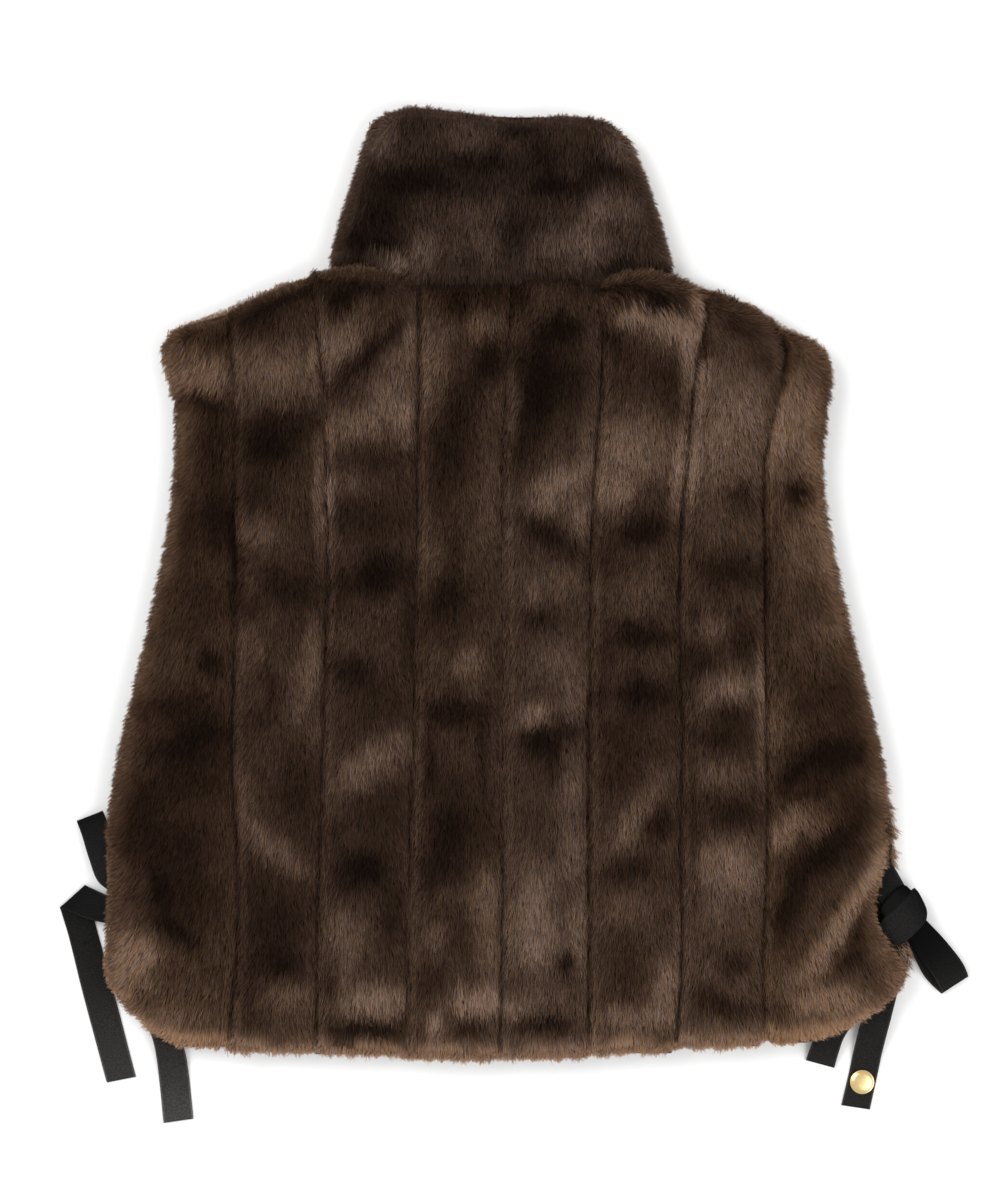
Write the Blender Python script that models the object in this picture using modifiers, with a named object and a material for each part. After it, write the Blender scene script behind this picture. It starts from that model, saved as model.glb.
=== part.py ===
# Fur vest laid flat on a table: eight back strips, a tall collar, a plain front in two
# halves underneath, and a ribbon tie on each side.
# Lengths in the tables are millimetres: x from the centre back seam, y up from the hem,
# z up from the table. Cloth thickness is taken to the tips of its pile.
import bpy
import bmesh
import numpy as np

MM = 0.001

SEAM_GAP = 0.3         # between neighbouring pieces
NECK_GAP = 0.6         # between collar and body
FRONT_THICK = 11.0     # hidden front, lying on the table
BACK_THICK = 14.0      # back strip along its middle
SEAM_THICK = 8.0       # back strip where it is seamed
EDGE_WALL = 3.0        # thinnest edge of a panel
EDGE_ROUND = 14.0      # rounding of the back's and collar's outer edge
FRONT_ROUND = 9.0      # rounding under the front's outer edge
FRONT_RISE = 2.5       # how far the front's outer edge is off the table
GROOVE_WIDTH = 60.0    # the two panels part along open edges, over this width
GROOVE_LIFT = 4.0      # the back's underside there
GROOVE_DROP = 5.0      # the front's upper side there
FRONT_INSET = 4.0      # the front's hem and left edge stay this far inside the back's
HEM_NOTCHES = (2.5, 1, 1, 1, 1, 1, 5)   # the hem is drawn up this much at each seam
NOTCH_WIDTH = 4.0
RIBBON_THICK = 1.0
STUD_DIAMETER = 17.0
STUD_HEIGHT = 2.4
STUD_PLACE = (255.0, -16.0)
OPENING_X = 3.0        # the front's centre opening
FRONT_NECK = 541.0     # the front's neck seam, and its ends
FRONT_NECK_SIDES = (-124.0, 126.5)

BACK_BASE = FRONT_THICK + SEAM_GAP

# Sections across the body: outer edges and seams at each height
BODY_COLUMNS = ("height", "left", "seam1", "seam2", "seam3", "seam4", "seam5", "seam6",
                "seam7", "right", "front_right")
BODY_ROWS = (
    (8, -277, -190.5, -129.5, -67, 0, 61.5, 123, 186, 282, 283),
    (71, -278.5, -185, -128, -65, 0.5, 61.5, 126.5, 183.5, 282, 291.5),
    (92, -277.5, -184, -128, -65, 1, 61.5, 126.5, 184, 268.5, 288.5),
    (110, -276, -183.5, -127.5, -64.5, 1.5, 61.5, 126.5, 185, 266.5, 277),
    (134, -276.4, -184.2, -126.6, -63.8, 1.8, 61.5, 126.3, 186.2, 274.5, 279),
    (162, -277, -185, -125.5, -63, 2, 61.5, 126, 187.5, 275.5, 280),
    (211, -270, -187.5, -124.5, -61, 2, 61.5, 127.5, 186, 270, 268),
    (295, -250.5, -186, -122.5, -59.5, 3, 62.5, 126, 185.5, 250, 247),
    (365, -236, -185.5, -120, -58, 1, 63.5, 126, 185, 234, 230.5),
    (421, -229.5, -186.5, -121, -58, 0.5, 67, 131, 185, 228, 225),
    (463, -230.5, -185.5, -123, -57, 3.5, 70, 135, 196, 233, 230),
    (491, -238.5, -188, -125.5, -57, 5, 71.5, 138.5, 201, 234.5, 231.5),
    (519, -240, -190.5, -128.5, -57, 6.5, 70, 145.5, 194.5, 233, 230),
    (544, -240, -190.5, -131.5, -57, 7, 68, 144, 193, 233, 230),
)

# Back strips from left to right: heights of hem and top at each side, how far the top
# bows up between, the extra fullness at the top and the wall left at the top edge
STRIP_COLUMNS = ("hem_left", "hem_right", "top_left", "top_right", "bow", "puff", "top_wall")
STRIP_ROWS = (
    (7.5, 7.5, 511, 525.5, 0.5, 0, 3),
    (4.5, 4.5, 526, 551.5, 2.5, 1, 3),
    (4, 2, 552, 542, 8.5, 3, 8),
    (0.5, -1, 542, 542, 0, 0, 8),
    (-0.5, 1.5, 542, 543, 3, 0, 8),
    (2.5, 6, 542.5, 541, 12, 4, 8),
    (7.5, 9.5, 541.5, 517, 5, 1, 3),
    (10, 12, 516, 499, 0.5, 0, 3),
)

# Rounded lower corners: rise of the hem, its reach as a share of the piece, fullness
LEFT_CORNER = (60.0, 0.72, 1.6)
RIGHT_CORNER = (51.0, 0.85, 1.7)
FRONT_CORNER = (55.0, 0.26, 1.65)
# Rounded shoulder tips: drop of the top edge and its reach as a share of the outer strip
LEFT_TIP = (12.0, 0.30)
RIGHT_TIP = (12.0, 0.35)

# Collar: its sides at each height, and its top edge from left to right
COLLAR_COLUMNS = ("height", "left", "right")
COLLAR_ROWS = (
    (540, -122, 124),
    (556, -121.5, 123),
    (575, -118, 118),
    (603, -110, 110),
    (631, -101, 99.5),
    (649, -95, 91.5),
    (666, -88.5, 84),
)
COLLAR_TOP_COLUMNS = ("share", "height")
COLLAR_TOP_ROWS = (
    (0, 657), (0.04, 664.5), (0.12, 669), (0.3, 668), (0.5, 662.5), (0.58, 661),
    (0.7, 663.5), (0.84, 663), (0.94, 658.5), (1, 647),
)
COLLAR_ROUND = 12.0

# Ribbons: both edges of the ribbon at each section, from the knot outwards
RIBBON_COLUMNS = ("ax", "ay", "az", "bx", "by", "bz")
LEFT_LOOP_ROWS = (
    (-268.5, 116, 9.6, -249.5, 113, 10.0),
    (-282, 126, 8.0, -261.5, 131, 9.6),
    (-288.4, 141.5, 5.8, -269, 148, 8.9),
    (-294.5, 160, 1.4, -276, 167.5, 6.6),
    (-297.5, 167.5, 3.2, -279, 175, 8.3),
    (-294.5, 160, 5.0, -276, 167.5, 10.0),
    (-288.4, 141.5, 8.6, -269, 148, 11.4),
    (-282, 126, 10.4, -261.5, 131, 11.5),
    (-268.5, 116, 11.2, -249.5, 113, 11.6),
)
LEFT_FOLDED_ROWS = (
    (-267, 113.8, 10.4, -270.2, 95.5, 10.0),
    (-277.5, 116.8, 8.4, -288.5, 99, 6.6),
    (-285.5, 120, 5.2, -300.5, 103.2, 4.4),
    (-290.2, 121.9, 3.3, -308.2, 106.1, 3.3),
    (-291.7, 122.5, 2.55, -309.8, 106.8, 2.55),
    (-291.3, 120.9, 1.8, -309.3, 105.1, 1.8),
    (-289, 109, 1.1, -307.3, 98.5, 1.1),
    (-286, 98, 0.6, -305.5, 92.5, 0.6),
    (-274, 54, 0.6, -294.5, 49, 0.6),
    (-256.5, -12.5, 0.6, -277, -16.5, 0.6),
)
LEFT_SHORT_ROWS = (
    (-269, 97.7, 10.4, -250.3, 94.4, 10.6),
    (-263, 60, 10.5, -244, 66, 10.6),
    (-253, 35.5, 10.2, -234.5, 43, 10.5),
    (-244, 15, 8.3, -225, 20, 8.5),
    (-241.5, 0, 3.4, -221, 3, 3.4),
    (-240, -15, 0.6, -219, -12.5, 0.6),
    (-237, -45, 0.6, -216, -42, 0.6),
)
RIGHT_ANCHOR_ROWS = (
    (254, 133.5, 10.7, 271, 144, 10.7),
    (259.5, 125.5, 10.7, 276.5, 136, 10.7),
    (265.2, 114.5, 10.6, 282, 126.5, 10.6),
    (271.4, 104.4, 10.6, 285.8, 118.8, 10.6),
)
RIGHT_LOOP_ROWS = (
    (286.8, 84.65, 9.0, 300.3, 98.15, 9.0),
    (292.8, 69, 6.2, 311, 82.5, 6.0),
    (302, 54.5, 2.2, 322.5, 65.5, 2.2),
    (311, 46.5, 3.6, 329.3, 58.5, 3.6),
    (306, 56.5, 5.6, 326.5, 66, 5.6),
    (296, 70.5, 8.8, 313, 84, 8.8),
    (286.8, 84.65, 11.6, 300.3, 98.15, 11.6),
)
RIGHT_SHORT_ROWS = (
    (263.2, 92.8, 10.7, 276.2, 79.4, 10.6),
    (256, 79, 10.9, 273, 71, 10.6),
    (249, 59, 10.9, 266, 49, 10.5),
    (235.5, 42.5, 10.8, 251.5, 30.5, 9.8),
    (222.5, 22, 9.2, 241, 15, 8.4),
    (218.5, 9.5, 5.0, 238, 4.5, 4.4),
    (215.5, -0.5, 0.8, 235.5, -6, 0.8),
)
RIGHT_STUDDED_ROWS = (
    (263.4, 92.8, 12.4, 276.6, 79.4, 12.3),
    (259.5, 76, 12.2, 278, 70.5, 12.1),
    (259.5, 55.5, 12.1, 279, 52, 12.0),
    (255.5, 37, 11.8, 275, 33, 11.0),
    (252, 21, 6.4, 271.5, 17, 6.4),
    (248.5, 4, 1.6, 268, 0, 1.6),
    (247, -4, 0.6, 266.5, -8, 0.6),
    (240.5, -32.5, 0.6, 260.5, -35.5, 0.6),
)

# Knots: place, half length, half width, half height, turn in degrees, rounding in plan
KNOT_COLUMNS = ("x", "y", "z", "long", "wide", "high", "turn", "round")
LEFT_KNOT = (-258.0, 105.0, 10.6, 8.0, 9.5, 1.45, 80, 1.0)
RIGHT_KNOT = (285.1, 100.5, 11.0, 20.3, 11.8, 3.5, 45, 7.0)

# Colour, roughness and metallic of each material
FUR_LOOK = ((0.070, 0.045, 0.032), 0.75, 0.0)
FRONT_LOOK = ((0.055, 0.036, 0.026), 0.80, 0.0)
RIBBON_LOOK = ((0.012, 0.012, 0.013), 0.55, 0.0)
STUD_LOOK = ((0.62, 0.44, 0.20), 0.30, 1.0)

for old in list(bpy.data.objects):
    bpy.data.objects.remove(old, do_unlink=True)

vest = bpy.data.collections.new("fur_vest")
bpy.context.scene.collection.children.link(vest)
base = bpy.data.objects.new("vest_origin", None)
vest.objects.link(base)


def material(name, look):
    colour, roughness, metallic = look
    made = bpy.data.materials.new(name)
    made.use_nodes = True
    shader = made.node_tree.nodes["Principled BSDF"]
    shader.inputs["Base Color"].default_value = (*colour, 1.0)
    shader.inputs["Roughness"].default_value = roughness
    shader.inputs["Metallic"].default_value = metallic
    return made


fur = material("fur_pile", FUR_LOOK)
plain_fur = material("front_pile", FRONT_LOOK)
ribbon_cloth = material("ribbon", RIBBON_LOOK)
stud_metal = material("stud_metal", STUD_LOOK)


def column(rows, columns, name):
    return np.array([row[columns.index(name)] for row in rows], float)


def smooth(xs, values, at):
    """Cubic through the table, its slope at a row taken from the rows beside it."""
    slopes = np.gradient(values, xs)
    at = np.clip(at, xs[0], xs[-1])
    i = np.clip(np.searchsorted(xs, at, side="right") - 1, 0, len(xs) - 2)
    step = xs[i + 1] - xs[i]
    t = (at - xs[i]) / step
    start = (1 + 2 * t) * (1 - t) ** 2 * values[i] + t * (1 - t) ** 2 * step * slopes[i]
    finish = t * t * (3 - 2 * t) * values[i + 1] + t * t * (t - 1) * step * slopes[i + 1]
    return start + finish


def body_x(name, y):
    """Where an edge or a seam of the body is at height y."""
    return smooth(column(BODY_ROWS, BODY_COLUMNS, "height"),
                  column(BODY_ROWS, BODY_COLUMNS, name), y)


def round_in(distance, radius):
    """Quarter round: 0 at an edge, 1 from one radius inwards."""
    share = np.clip(distance / radius, 0.0, 1.0)
    return np.sqrt(1.0 - (1.0 - share) ** 2)


def groove(distance):
    """Falls from 1 at an open edge to 0 at the groove's width."""
    return (1.0 - np.clip(distance / GROOVE_WIDTH, 0.0, 1.0)) ** 2


def corner(share, shape):
    """Rounded corner: the hem's rise at a share of the strip from its outer edge."""
    rise, reach, power = shape
    w = np.clip((reach - share) / reach, 0.0, 1.0)
    return rise * (1.0 - (1.0 - w ** power) ** (1.0 / power))


def tip(share, shape):
    """Rounded shoulder tip: the top's drop at a share of the strip from its outer edge."""
    drop, reach = shape
    return drop * np.clip(1.0 - share / reach, 0.0, 1.0) ** 2


def shell(name, x, y, z_top, z_low, look):
    """Closed cloth piece: an upper and a lower grid with the same plan, joined all round."""
    rows, cols = x.shape
    upper = np.stack([x, y, z_top], axis=-1).reshape(-1, 3)
    lower = np.stack([x, y, z_low], axis=-1).reshape(-1, 3)
    count = rows * cols
    index = np.arange(count).reshape(rows, cols)
    quads = np.stack([index[:-1, :-1], index[:-1, 1:], index[1:, 1:], index[1:, :-1]],
                     axis=-1).reshape(-1, 4)
    rim = np.concatenate([index[0, :-1], index[:-1, -1], index[-1, :0:-1], index[:0:-1, 0]])
    after = np.roll(rim, -1)
    walls = np.stack([rim, rim + count, after + count, after], axis=-1)
    faces = np.concatenate([quads, quads[:, ::-1] + count, walls])
    return solid(name, np.concatenate([upper, lower]), faces, look)


def solid(name, points, faces, look):
    mesh = bpy.data.meshes.new(name)
    mesh.from_pydata((np.asarray(points) * MM).tolist(), [], [list(map(int, f)) for f in faces])
    work = bmesh.new()
    work.from_mesh(mesh)
    bmesh.ops.recalc_face_normals(work, faces=work.faces)
    work.to_mesh(mesh)
    work.free()
    mesh.materials.append(look)
    mesh.shade_smooth()
    piece = bpy.data.objects.new(name, mesh)
    piece.parent = base
    vest.objects.link(piece)
    return piece


def sections(low, high, near_low, near_high, middle):
    """Heights of a piece's sections: close together at both ends, even between."""
    span = high - low
    heights = [low + d for d in near_low]
    heights += [low + span * v for v in middle]
    heights += [high - d for d in near_high[::-1]]
    return np.array(heights)


# Shares across a strip: close together at a seam and at an outer edge
INNER_SHARES = np.array((0, 0.04, 0.12, 0.3, 0.5, 0.7, 0.88, 0.96, 1))
OUTER_SHARES = np.array((0, 0.012, 0.04, 0.09, 0.17, 0.35, 0.6, 0.86, 0.95, 1))
NEAR_EDGE = (0, 1, 3.5, 8, 14)
MIDDLE = np.linspace(0.075, 0.955, 19)
EDGES = ("left", "seam1", "seam2", "seam3", "seam4", "seam5", "seam6", "seam7", "right")


def strip_value(number, name):
    return STRIP_ROWS[number][STRIP_COLUMNS.index(name)]


def strip_hem(number, u):
    """Hem of a back strip: straight, drawn up at its seams, round at an outer corner."""
    left = strip_value(number, "hem_left")
    right = strip_value(number, "hem_right")
    width = 64.0
    line = left + (right - left) * u
    if number == 0:
        line = line + corner(u, LEFT_CORNER)
    else:
        line = line + HEM_NOTCHES[number - 1] * np.exp(-(u * width / NOTCH_WIDTH) ** 2)
    if number == 7:
        line = line + corner(1 - u, RIGHT_CORNER)
    else:
        line = line + HEM_NOTCHES[number] * np.exp(-((1 - u) * width / NOTCH_WIDTH) ** 2)
    return line


def strip_top(number, u):
    """Top of a back strip: straight from side to side plus its bow and an outer tip."""
    left = strip_value(number, "top_left")
    right = strip_value(number, "top_right")
    line = left + (right - left) * u
    line = line + strip_value(number, "bow") * (1 - np.abs(2 * u - 1) ** 2.6)
    if number == 0:
        line = line - tip(u, LEFT_TIP)
    if number == 7:
        line = line - tip(1 - u, RIGHT_TIP)
    return line


def strip_plan(number, u, y):
    """x across a strip at height y, half a seam's gap in from each seam."""
    left = body_x(EDGES[number], y) + (SEAM_GAP / 2 if number > 0 else 0)
    right = body_x(EDGES[number + 1], y) - (SEAM_GAP / 2 if number < 7 else 0)
    return left + (right - left) * u


def back_strip(number):
    u = INNER_SHARES
    if number == 0:
        u = OUTER_SHARES
    if number == 7:
        u = 1 - OUTER_SHARES[::-1]
    hem = strip_hem(number, u)
    top = strip_top(number, u)
    y = sections(hem, top, NEAR_EDGE, NEAR_EDGE, MIDDLE)
    u = np.broadcast_to(u, y.shape)
    x = strip_plan(number, u, y)
    side = np.full(y.shape, 1000.0)
    if number == 0:
        side = x - body_x("left", y)
    if number == 7:
        side = body_x("right", y) - x
    open_edge = np.minimum(y - hem, side)
    domed = np.ones(y.shape)
    if number > 0:
        domed = domed - np.clip(1 - 2 * u, 0, 1) ** 4
    if number < 7:
        domed = domed - np.clip(2 * u - 1, 0, 1) ** 4
    thick = SEAM_THICK + (BACK_THICK - SEAM_THICK) * domed
    thick = thick + strip_value(number, "puff") * domed * np.exp(-((top - y - 24) / 26) ** 2)
    z_low = BACK_BASE + GROOVE_LIFT * groove(open_edge)
    top_wall = strip_value(number, "top_wall")
    wall = EDGE_WALL + (top_wall - EDGE_WALL) * (1 - np.clip((top - y) / 60, 0, 1))
    lip = z_low + wall
    rim = round_in(y - hem, EDGE_ROUND) * round_in(side, EDGE_ROUND)
    rim = rim * round_in(top - y, EDGE_ROUND)
    z_top = lip + np.maximum(BACK_BASE + thick - lip, 0) * rim
    shell("back_strip_%d" % (number + 1), x, y, z_top, z_low, fur)


for number in range(8):
    back_strip(number)


def top_edge(number, u):
    """Plan of a strip's top edge: x and y at the shares u."""
    y = strip_top(number, u)
    return strip_plan(number, u, y), y


def top_line(x):
    """Height of the back's top edge at x, taken along all eight strips."""
    edges = [top_edge(0, OUTER_SHARES)]
    edges += [top_edge(n, INNER_SHARES) for n in range(1, 7)]
    edges += [top_edge(7, 1 - OUTER_SHARES[::-1])]
    places = np.concatenate([edge[0] for edge in edges])
    heights = np.concatenate([edge[1] for edge in edges])
    return np.interp(x, places, heights)


def front_top(x):
    """Height of the front's top edge at x: the back's shoulders, and a straight neck between."""
    edges = [top_edge(0, OUTER_SHARES), top_edge(1, INNER_SHARES)]
    edges += [(np.array(FRONT_NECK_SIDES), np.full(2, FRONT_NECK))]
    edges += [top_edge(6, INNER_SHARES), top_edge(7, 1 - OUTER_SHARES[::-1])]
    places = np.concatenate([edge[0] for edge in edges])
    heights = np.concatenate([edge[1] for edge in edges])
    return np.interp(x, places, heights)


def front_shares(edge, shoulder, neck):
    """Shares across a front half: close at its edge, with one each at shoulder and neck ends."""
    ends = [(place - edge) / (OPENING_X - edge) for place in (shoulder, neck)]
    return np.array([0, 0.004, 0.013, 0.032, 0.07, 0.14, 0.23, 0.33] + ends + [0.6, 0.8, 1])


def front_half(name, outer, inset, shoulder_end, neck_end, hem_line, corner_shape):
    """Half of the front, from its outer edge to the centre opening, flat underneath."""
    side_gap = np.sign(neck_end) * SEAM_GAP / 2
    shares = front_shares(body_x(outer, FRONT_NECK) + inset, shoulder_end, neck_end)

    def plan(y):
        edge = body_x(outer, y) + inset
        return edge + (OPENING_X + side_gap - edge) * shares

    hem = hem_line + corner(shares, corner_shape)
    top = np.full(shares.shape, FRONT_NECK)
    for repeat in range(4):
        top = front_top(plan(top)) - SEAM_GAP
    y = sections(hem, top, (0, 1, 3.5, 9, 20), (0, 1, 3.5, 9), np.linspace(0.1, 0.94, 15))
    x = plan(y)
    side = np.abs(x - x[:, :1])
    open_edge = np.minimum(y - hem, side)
    rim = round_in(y - hem, FRONT_ROUND) * round_in(side, FRONT_ROUND)
    shoulder = round_in(top - y, FRONT_ROUND)
    z_low = FRONT_RISE * (1 - rim) + 2 * FRONT_RISE * (1 - shoulder) * rim
    z_top = FRONT_THICK - GROOVE_DROP * groove(open_edge)
    z_top = np.maximum(z_top, z_low + EDGE_WALL)
    shell(name, x, y, z_top, z_low, plain_fur)


front_half("front_left", "left", FRONT_INSET, -131.7, FRONT_NECK_SIDES[0], 13.0, FRONT_CORNER)
front_half("front_right", "front_right", 0.0, 144.1, FRONT_NECK_SIDES[1], 16.0, FRONT_CORNER)


def collar_side(name, y):
    return smooth(column(COLLAR_ROWS, COLLAR_COLUMNS, "height"),
                  column(COLLAR_ROWS, COLLAR_COLUMNS, name), y)


def collar_plan(shares, y, inset):
    left = collar_side("left", y) + inset
    right = collar_side("right", y) - inset
    return left + (right - left) * shares


def collar_piece(name, shares, upper, look):
    """Collar from the neck seam to its top edge; its sides are folds."""
    inset = 0 if upper else 1.0
    base_line = np.full(shares.shape, FRONT_NECK + SEAM_GAP)
    for repeat in range(4 if upper else 0):
        base_line = top_line(collar_plan(shares, base_line, inset)) + NECK_GAP
    top = smooth(column(COLLAR_TOP_ROWS, COLLAR_TOP_COLUMNS, "share"),
                 column(COLLAR_TOP_ROWS, COLLAR_TOP_COLUMNS, "height"), shares) - inset
    near_top = (0, 1, 3, 7, 12)
    y = sections(base_line, top, (0, 2, 6, 11), near_top, np.linspace(0.2, 0.84, 6))
    x = collar_plan(shares, y, inset)
    side = np.minimum(x - collar_side("left", y) - inset, collar_side("right", y) - inset - x)
    rim = round_in(side, COLLAR_ROUND) * round_in(top - y, COLLAR_ROUND)
    if upper:
        z_low = np.full(y.shape, BACK_BASE)
        seam = round_in(y - base_line, 11.0)
        thick = SEAM_THICK - 1 + (BACK_THICK - SEAM_THICK + 1) * seam
        z_top = BACK_BASE + EDGE_WALL + (thick - EDGE_WALL) * rim
    else:
        z_low = 2 * FRONT_RISE * (1 - rim)
        z_top = np.full(y.shape, FRONT_THICK)
    shell(name, x, y, z_top, z_low, look)


def neck_shares():
    """Shares across the collar: its folded sides, and the neck edge's own corners between."""
    neck = [top_edge(n, np.array((0.12, 0.3, 0.5, 0.7, 0.88, 1)))[0] for n in (2, 5)]
    neck += [top_edge(n, np.array((0.35, 0.7, 1)))[0] for n in (3, 4)]
    left = collar_side("left", 550.0)
    right = collar_side("right", 550.0)
    shares = np.sort((np.concatenate(neck) - left) / (right - left))
    shares = shares[(shares > 0.07) & (shares < 0.93)]
    fold = np.array((0, 0.006, 0.02, 0.048))
    return np.concatenate([fold, shares, 1 - fold[::-1]])


COLLAR_SHARES = neck_shares()
HALF_GAP = 0.0007
LEFT_SHARES = np.append(COLLAR_SHARES[COLLAR_SHARES < 0.49], 0.5 - HALF_GAP)
RIGHT_SHARES = np.append(0.5 + HALF_GAP, COLLAR_SHARES[COLLAR_SHARES > 0.51])
collar_piece("collar_back", COLLAR_SHARES, True, fur)
collar_piece("collar_front_left", LEFT_SHARES, False, plain_fur)
collar_piece("collar_front_right", RIGHT_SHARES, False, plain_fur)


def ribbon(name, rows, between):
    """Ribbon swept through its table's sections, thickened to both sides."""
    table = np.stack([column(rows, RIBBON_COLUMNS, name) for name in RIBBON_COLUMNS], axis=1)
    length = np.linalg.norm(np.diff((table[:, :3] + table[:, 3:]) / 2, axis=0), axis=1)
    along = np.concatenate([[0], np.cumsum(length)])
    at = np.concatenate([np.linspace(a, b, between, endpoint=False)
                         for a, b in zip(along[:-1], along[1:])] + [along[-1:]])
    fine = np.stack([smooth(along, table[:, c], at) for c in range(6)], axis=1)
    points = np.concatenate([fine[:, :3], fine[:, 3:]])
    count = len(fine)
    i = np.arange(count - 1)
    piece = solid(name, points, np.stack([i, i + 1, i + 1 + count, i + count], axis=1),
                  ribbon_cloth)
    thicken = piece.modifiers.new("thickness", "SOLIDIFY")
    thicken.thickness = RIBBON_THICK * MM
    thicken.offset = 0.0
    thicken.use_even_offset = True
    return piece


def knot(name, values):
    """Flattened knot: a block with rounded corners in plan and every other edge bevelled."""
    place = dict(zip(KNOT_COLUMNS, values))
    work = bmesh.new()
    bmesh.ops.create_cube(work, size=2 * MM)
    bmesh.ops.scale(work, verts=work.verts, vec=(place["long"], place["wide"], place["high"]))
    upright = [edge for edge in work.edges if edge.verts[0].co.z * edge.verts[1].co.z < 0]
    bmesh.ops.bevel(work, geom=upright, offset=place["round"] * MM, segments=5, profile=0.5,
                    affect="EDGES")
    mesh = bpy.data.meshes.new(name)
    work.to_mesh(mesh)
    work.free()
    mesh.materials.append(ribbon_cloth)
    mesh.shade_smooth()
    piece = bpy.data.objects.new(name, mesh)
    piece.location = (place["x"] * MM, place["y"] * MM, place["z"] * MM)
    piece.rotation_euler = (0, 0, np.radians(place["turn"]))
    piece.parent = base
    vest.objects.link(piece)
    bevel = piece.modifiers.new("rounding", "BEVEL")
    bevel.width = 0.7 * place["high"] * MM
    bevel.segments = 3
    bevel.limit_method = "ANGLE"
    bevel.angle_limit = np.radians(50)
    return piece


ribbon("tie_left_loop", LEFT_LOOP_ROWS, 4)
ribbon("tie_left_tail_folded", LEFT_FOLDED_ROWS, 3)
ribbon("tie_left_tail_short", LEFT_SHORT_ROWS, 3)
knot("tie_left_knot", LEFT_KNOT)
ribbon("tie_right_anchor", RIGHT_ANCHOR_ROWS, 3)
ribbon("tie_right_loop", RIGHT_LOOP_ROWS, 4)
ribbon("tie_right_tail_short", RIGHT_SHORT_ROWS, 3)
ribbon("tie_right_tail_studded", RIGHT_STUDDED_ROWS, 3)
knot("tie_right_knot", RIGHT_KNOT)


def stud():
    """Round stud with a low dome, turned from its half profile, top to bottom."""
    profile = ((0.0, 1.0), (0.42, 0.96), (0.75, 0.8), (0.93, 0.55), (1.0, 0.35), (1.0, 0.0),
               (0.0, 0.0))
    points = [(STUD_DIAMETER / 2 * r * MM, 0.0, STUD_HEIGHT * h * MM) for r, h in profile]
    mesh = bpy.data.meshes.new("tie_stud")
    mesh.from_pydata(points, [(i, i + 1) for i in range(len(points) - 1)], [])
    mesh.materials.append(stud_metal)
    piece = bpy.data.objects.new("tie_stud", mesh)
    floor = 0.6 + RIBBON_THICK / 2 + SEAM_GAP
    piece.location = (STUD_PLACE[0] * MM, STUD_PLACE[1] * MM, floor * MM)
    piece.parent = base
    vest.objects.link(piece)
    turned = piece.modifiers.new("turned", "SCREW")
    turned.steps = 24
    turned.render_steps = 24
    turned.use_merge_vertices = True
    turned.merge_threshold = 0.01 * MM
    turned.use_smooth_shade = True
    return piece


stud()

# The part's origin: under the middle of its outline, on the table
corners = np.array([piece.matrix_basis @ v.co for piece in vest.objects if piece.type == "MESH"
                    for v in piece.data.vertices])
middle = (corners.min(axis=0) + corners.max(axis=0)) / 2
base.location = (-middle[0], -middle[1], 0.0)
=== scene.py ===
import bpy
import numpy as np
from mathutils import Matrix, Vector


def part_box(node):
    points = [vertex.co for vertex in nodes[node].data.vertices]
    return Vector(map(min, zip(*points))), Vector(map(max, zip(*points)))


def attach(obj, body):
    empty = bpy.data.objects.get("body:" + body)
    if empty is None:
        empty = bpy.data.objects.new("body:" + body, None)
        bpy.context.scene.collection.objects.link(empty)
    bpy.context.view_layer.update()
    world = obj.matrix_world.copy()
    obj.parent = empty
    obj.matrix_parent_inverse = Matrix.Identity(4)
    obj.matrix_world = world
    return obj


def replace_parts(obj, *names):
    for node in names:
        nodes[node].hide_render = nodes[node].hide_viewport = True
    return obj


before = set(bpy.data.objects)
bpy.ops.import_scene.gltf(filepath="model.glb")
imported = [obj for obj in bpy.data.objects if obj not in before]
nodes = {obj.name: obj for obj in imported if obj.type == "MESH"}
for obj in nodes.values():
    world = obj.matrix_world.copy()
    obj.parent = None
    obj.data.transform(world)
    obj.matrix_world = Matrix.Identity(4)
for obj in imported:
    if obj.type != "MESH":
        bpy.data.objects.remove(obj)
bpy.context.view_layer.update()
mm = 0.001
print("frame loaded:", len(nodes), "nodes")

# the tables below are in mm from the centre seam's foot; the stud's place ties them to the frame
studPlace = {"x": 255.0, "y": -16.0}
studLow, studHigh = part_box("tie_stud")
shiftX = (studLow.x + studHigh.x) / 2 - studPlace["x"] * mm
shiftY = (studLow.y + studHigh.y) / 2 - studPlace["y"] * mm
mapName = "OFBake"  # the one map a piece has


# mesh from arrays: points (n, 3), faces (m, 3) or (m, 4), uv one row per face corner, shade one
# value per point
def meshPiece(name, points, faces, material, uv=None, shade=None, smooth=True):
    mesh = bpy.data.meshes.new(name)
    sides = faces.shape[1]
    mesh.vertices.add(len(points))
    mesh.vertices.foreach_set("co", np.ascontiguousarray(points, np.float32).ravel())
    mesh.loops.add(faces.size)
    mesh.loops.foreach_set("vertex_index", np.ascontiguousarray(faces, np.int32).ravel())
    mesh.polygons.add(len(faces))
    mesh.polygons.foreach_set("loop_start", np.arange(0, faces.size, sides, dtype=np.int32))
    mesh.polygons.foreach_set("use_smooth", np.full(len(faces), smooth))
    if uv is not None:
        layer = mesh.uv_layers.new(name=mapName)
        layer.data.foreach_set("uv", np.ascontiguousarray(uv, np.float32).ravel())
    if shade is not None:
        layer = mesh.attributes.new("shade", "FLOAT", "POINT")
        layer.data.foreach_set("value", np.ascontiguousarray(shade, np.float32).ravel())
    mesh.update(calc_edges=True)
    mesh.materials.append(material)
    piece = bpy.data.objects.new(name, mesh)
    bpy.context.scene.collection.objects.link(piece)
    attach(piece, "root")
    return piece


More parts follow.
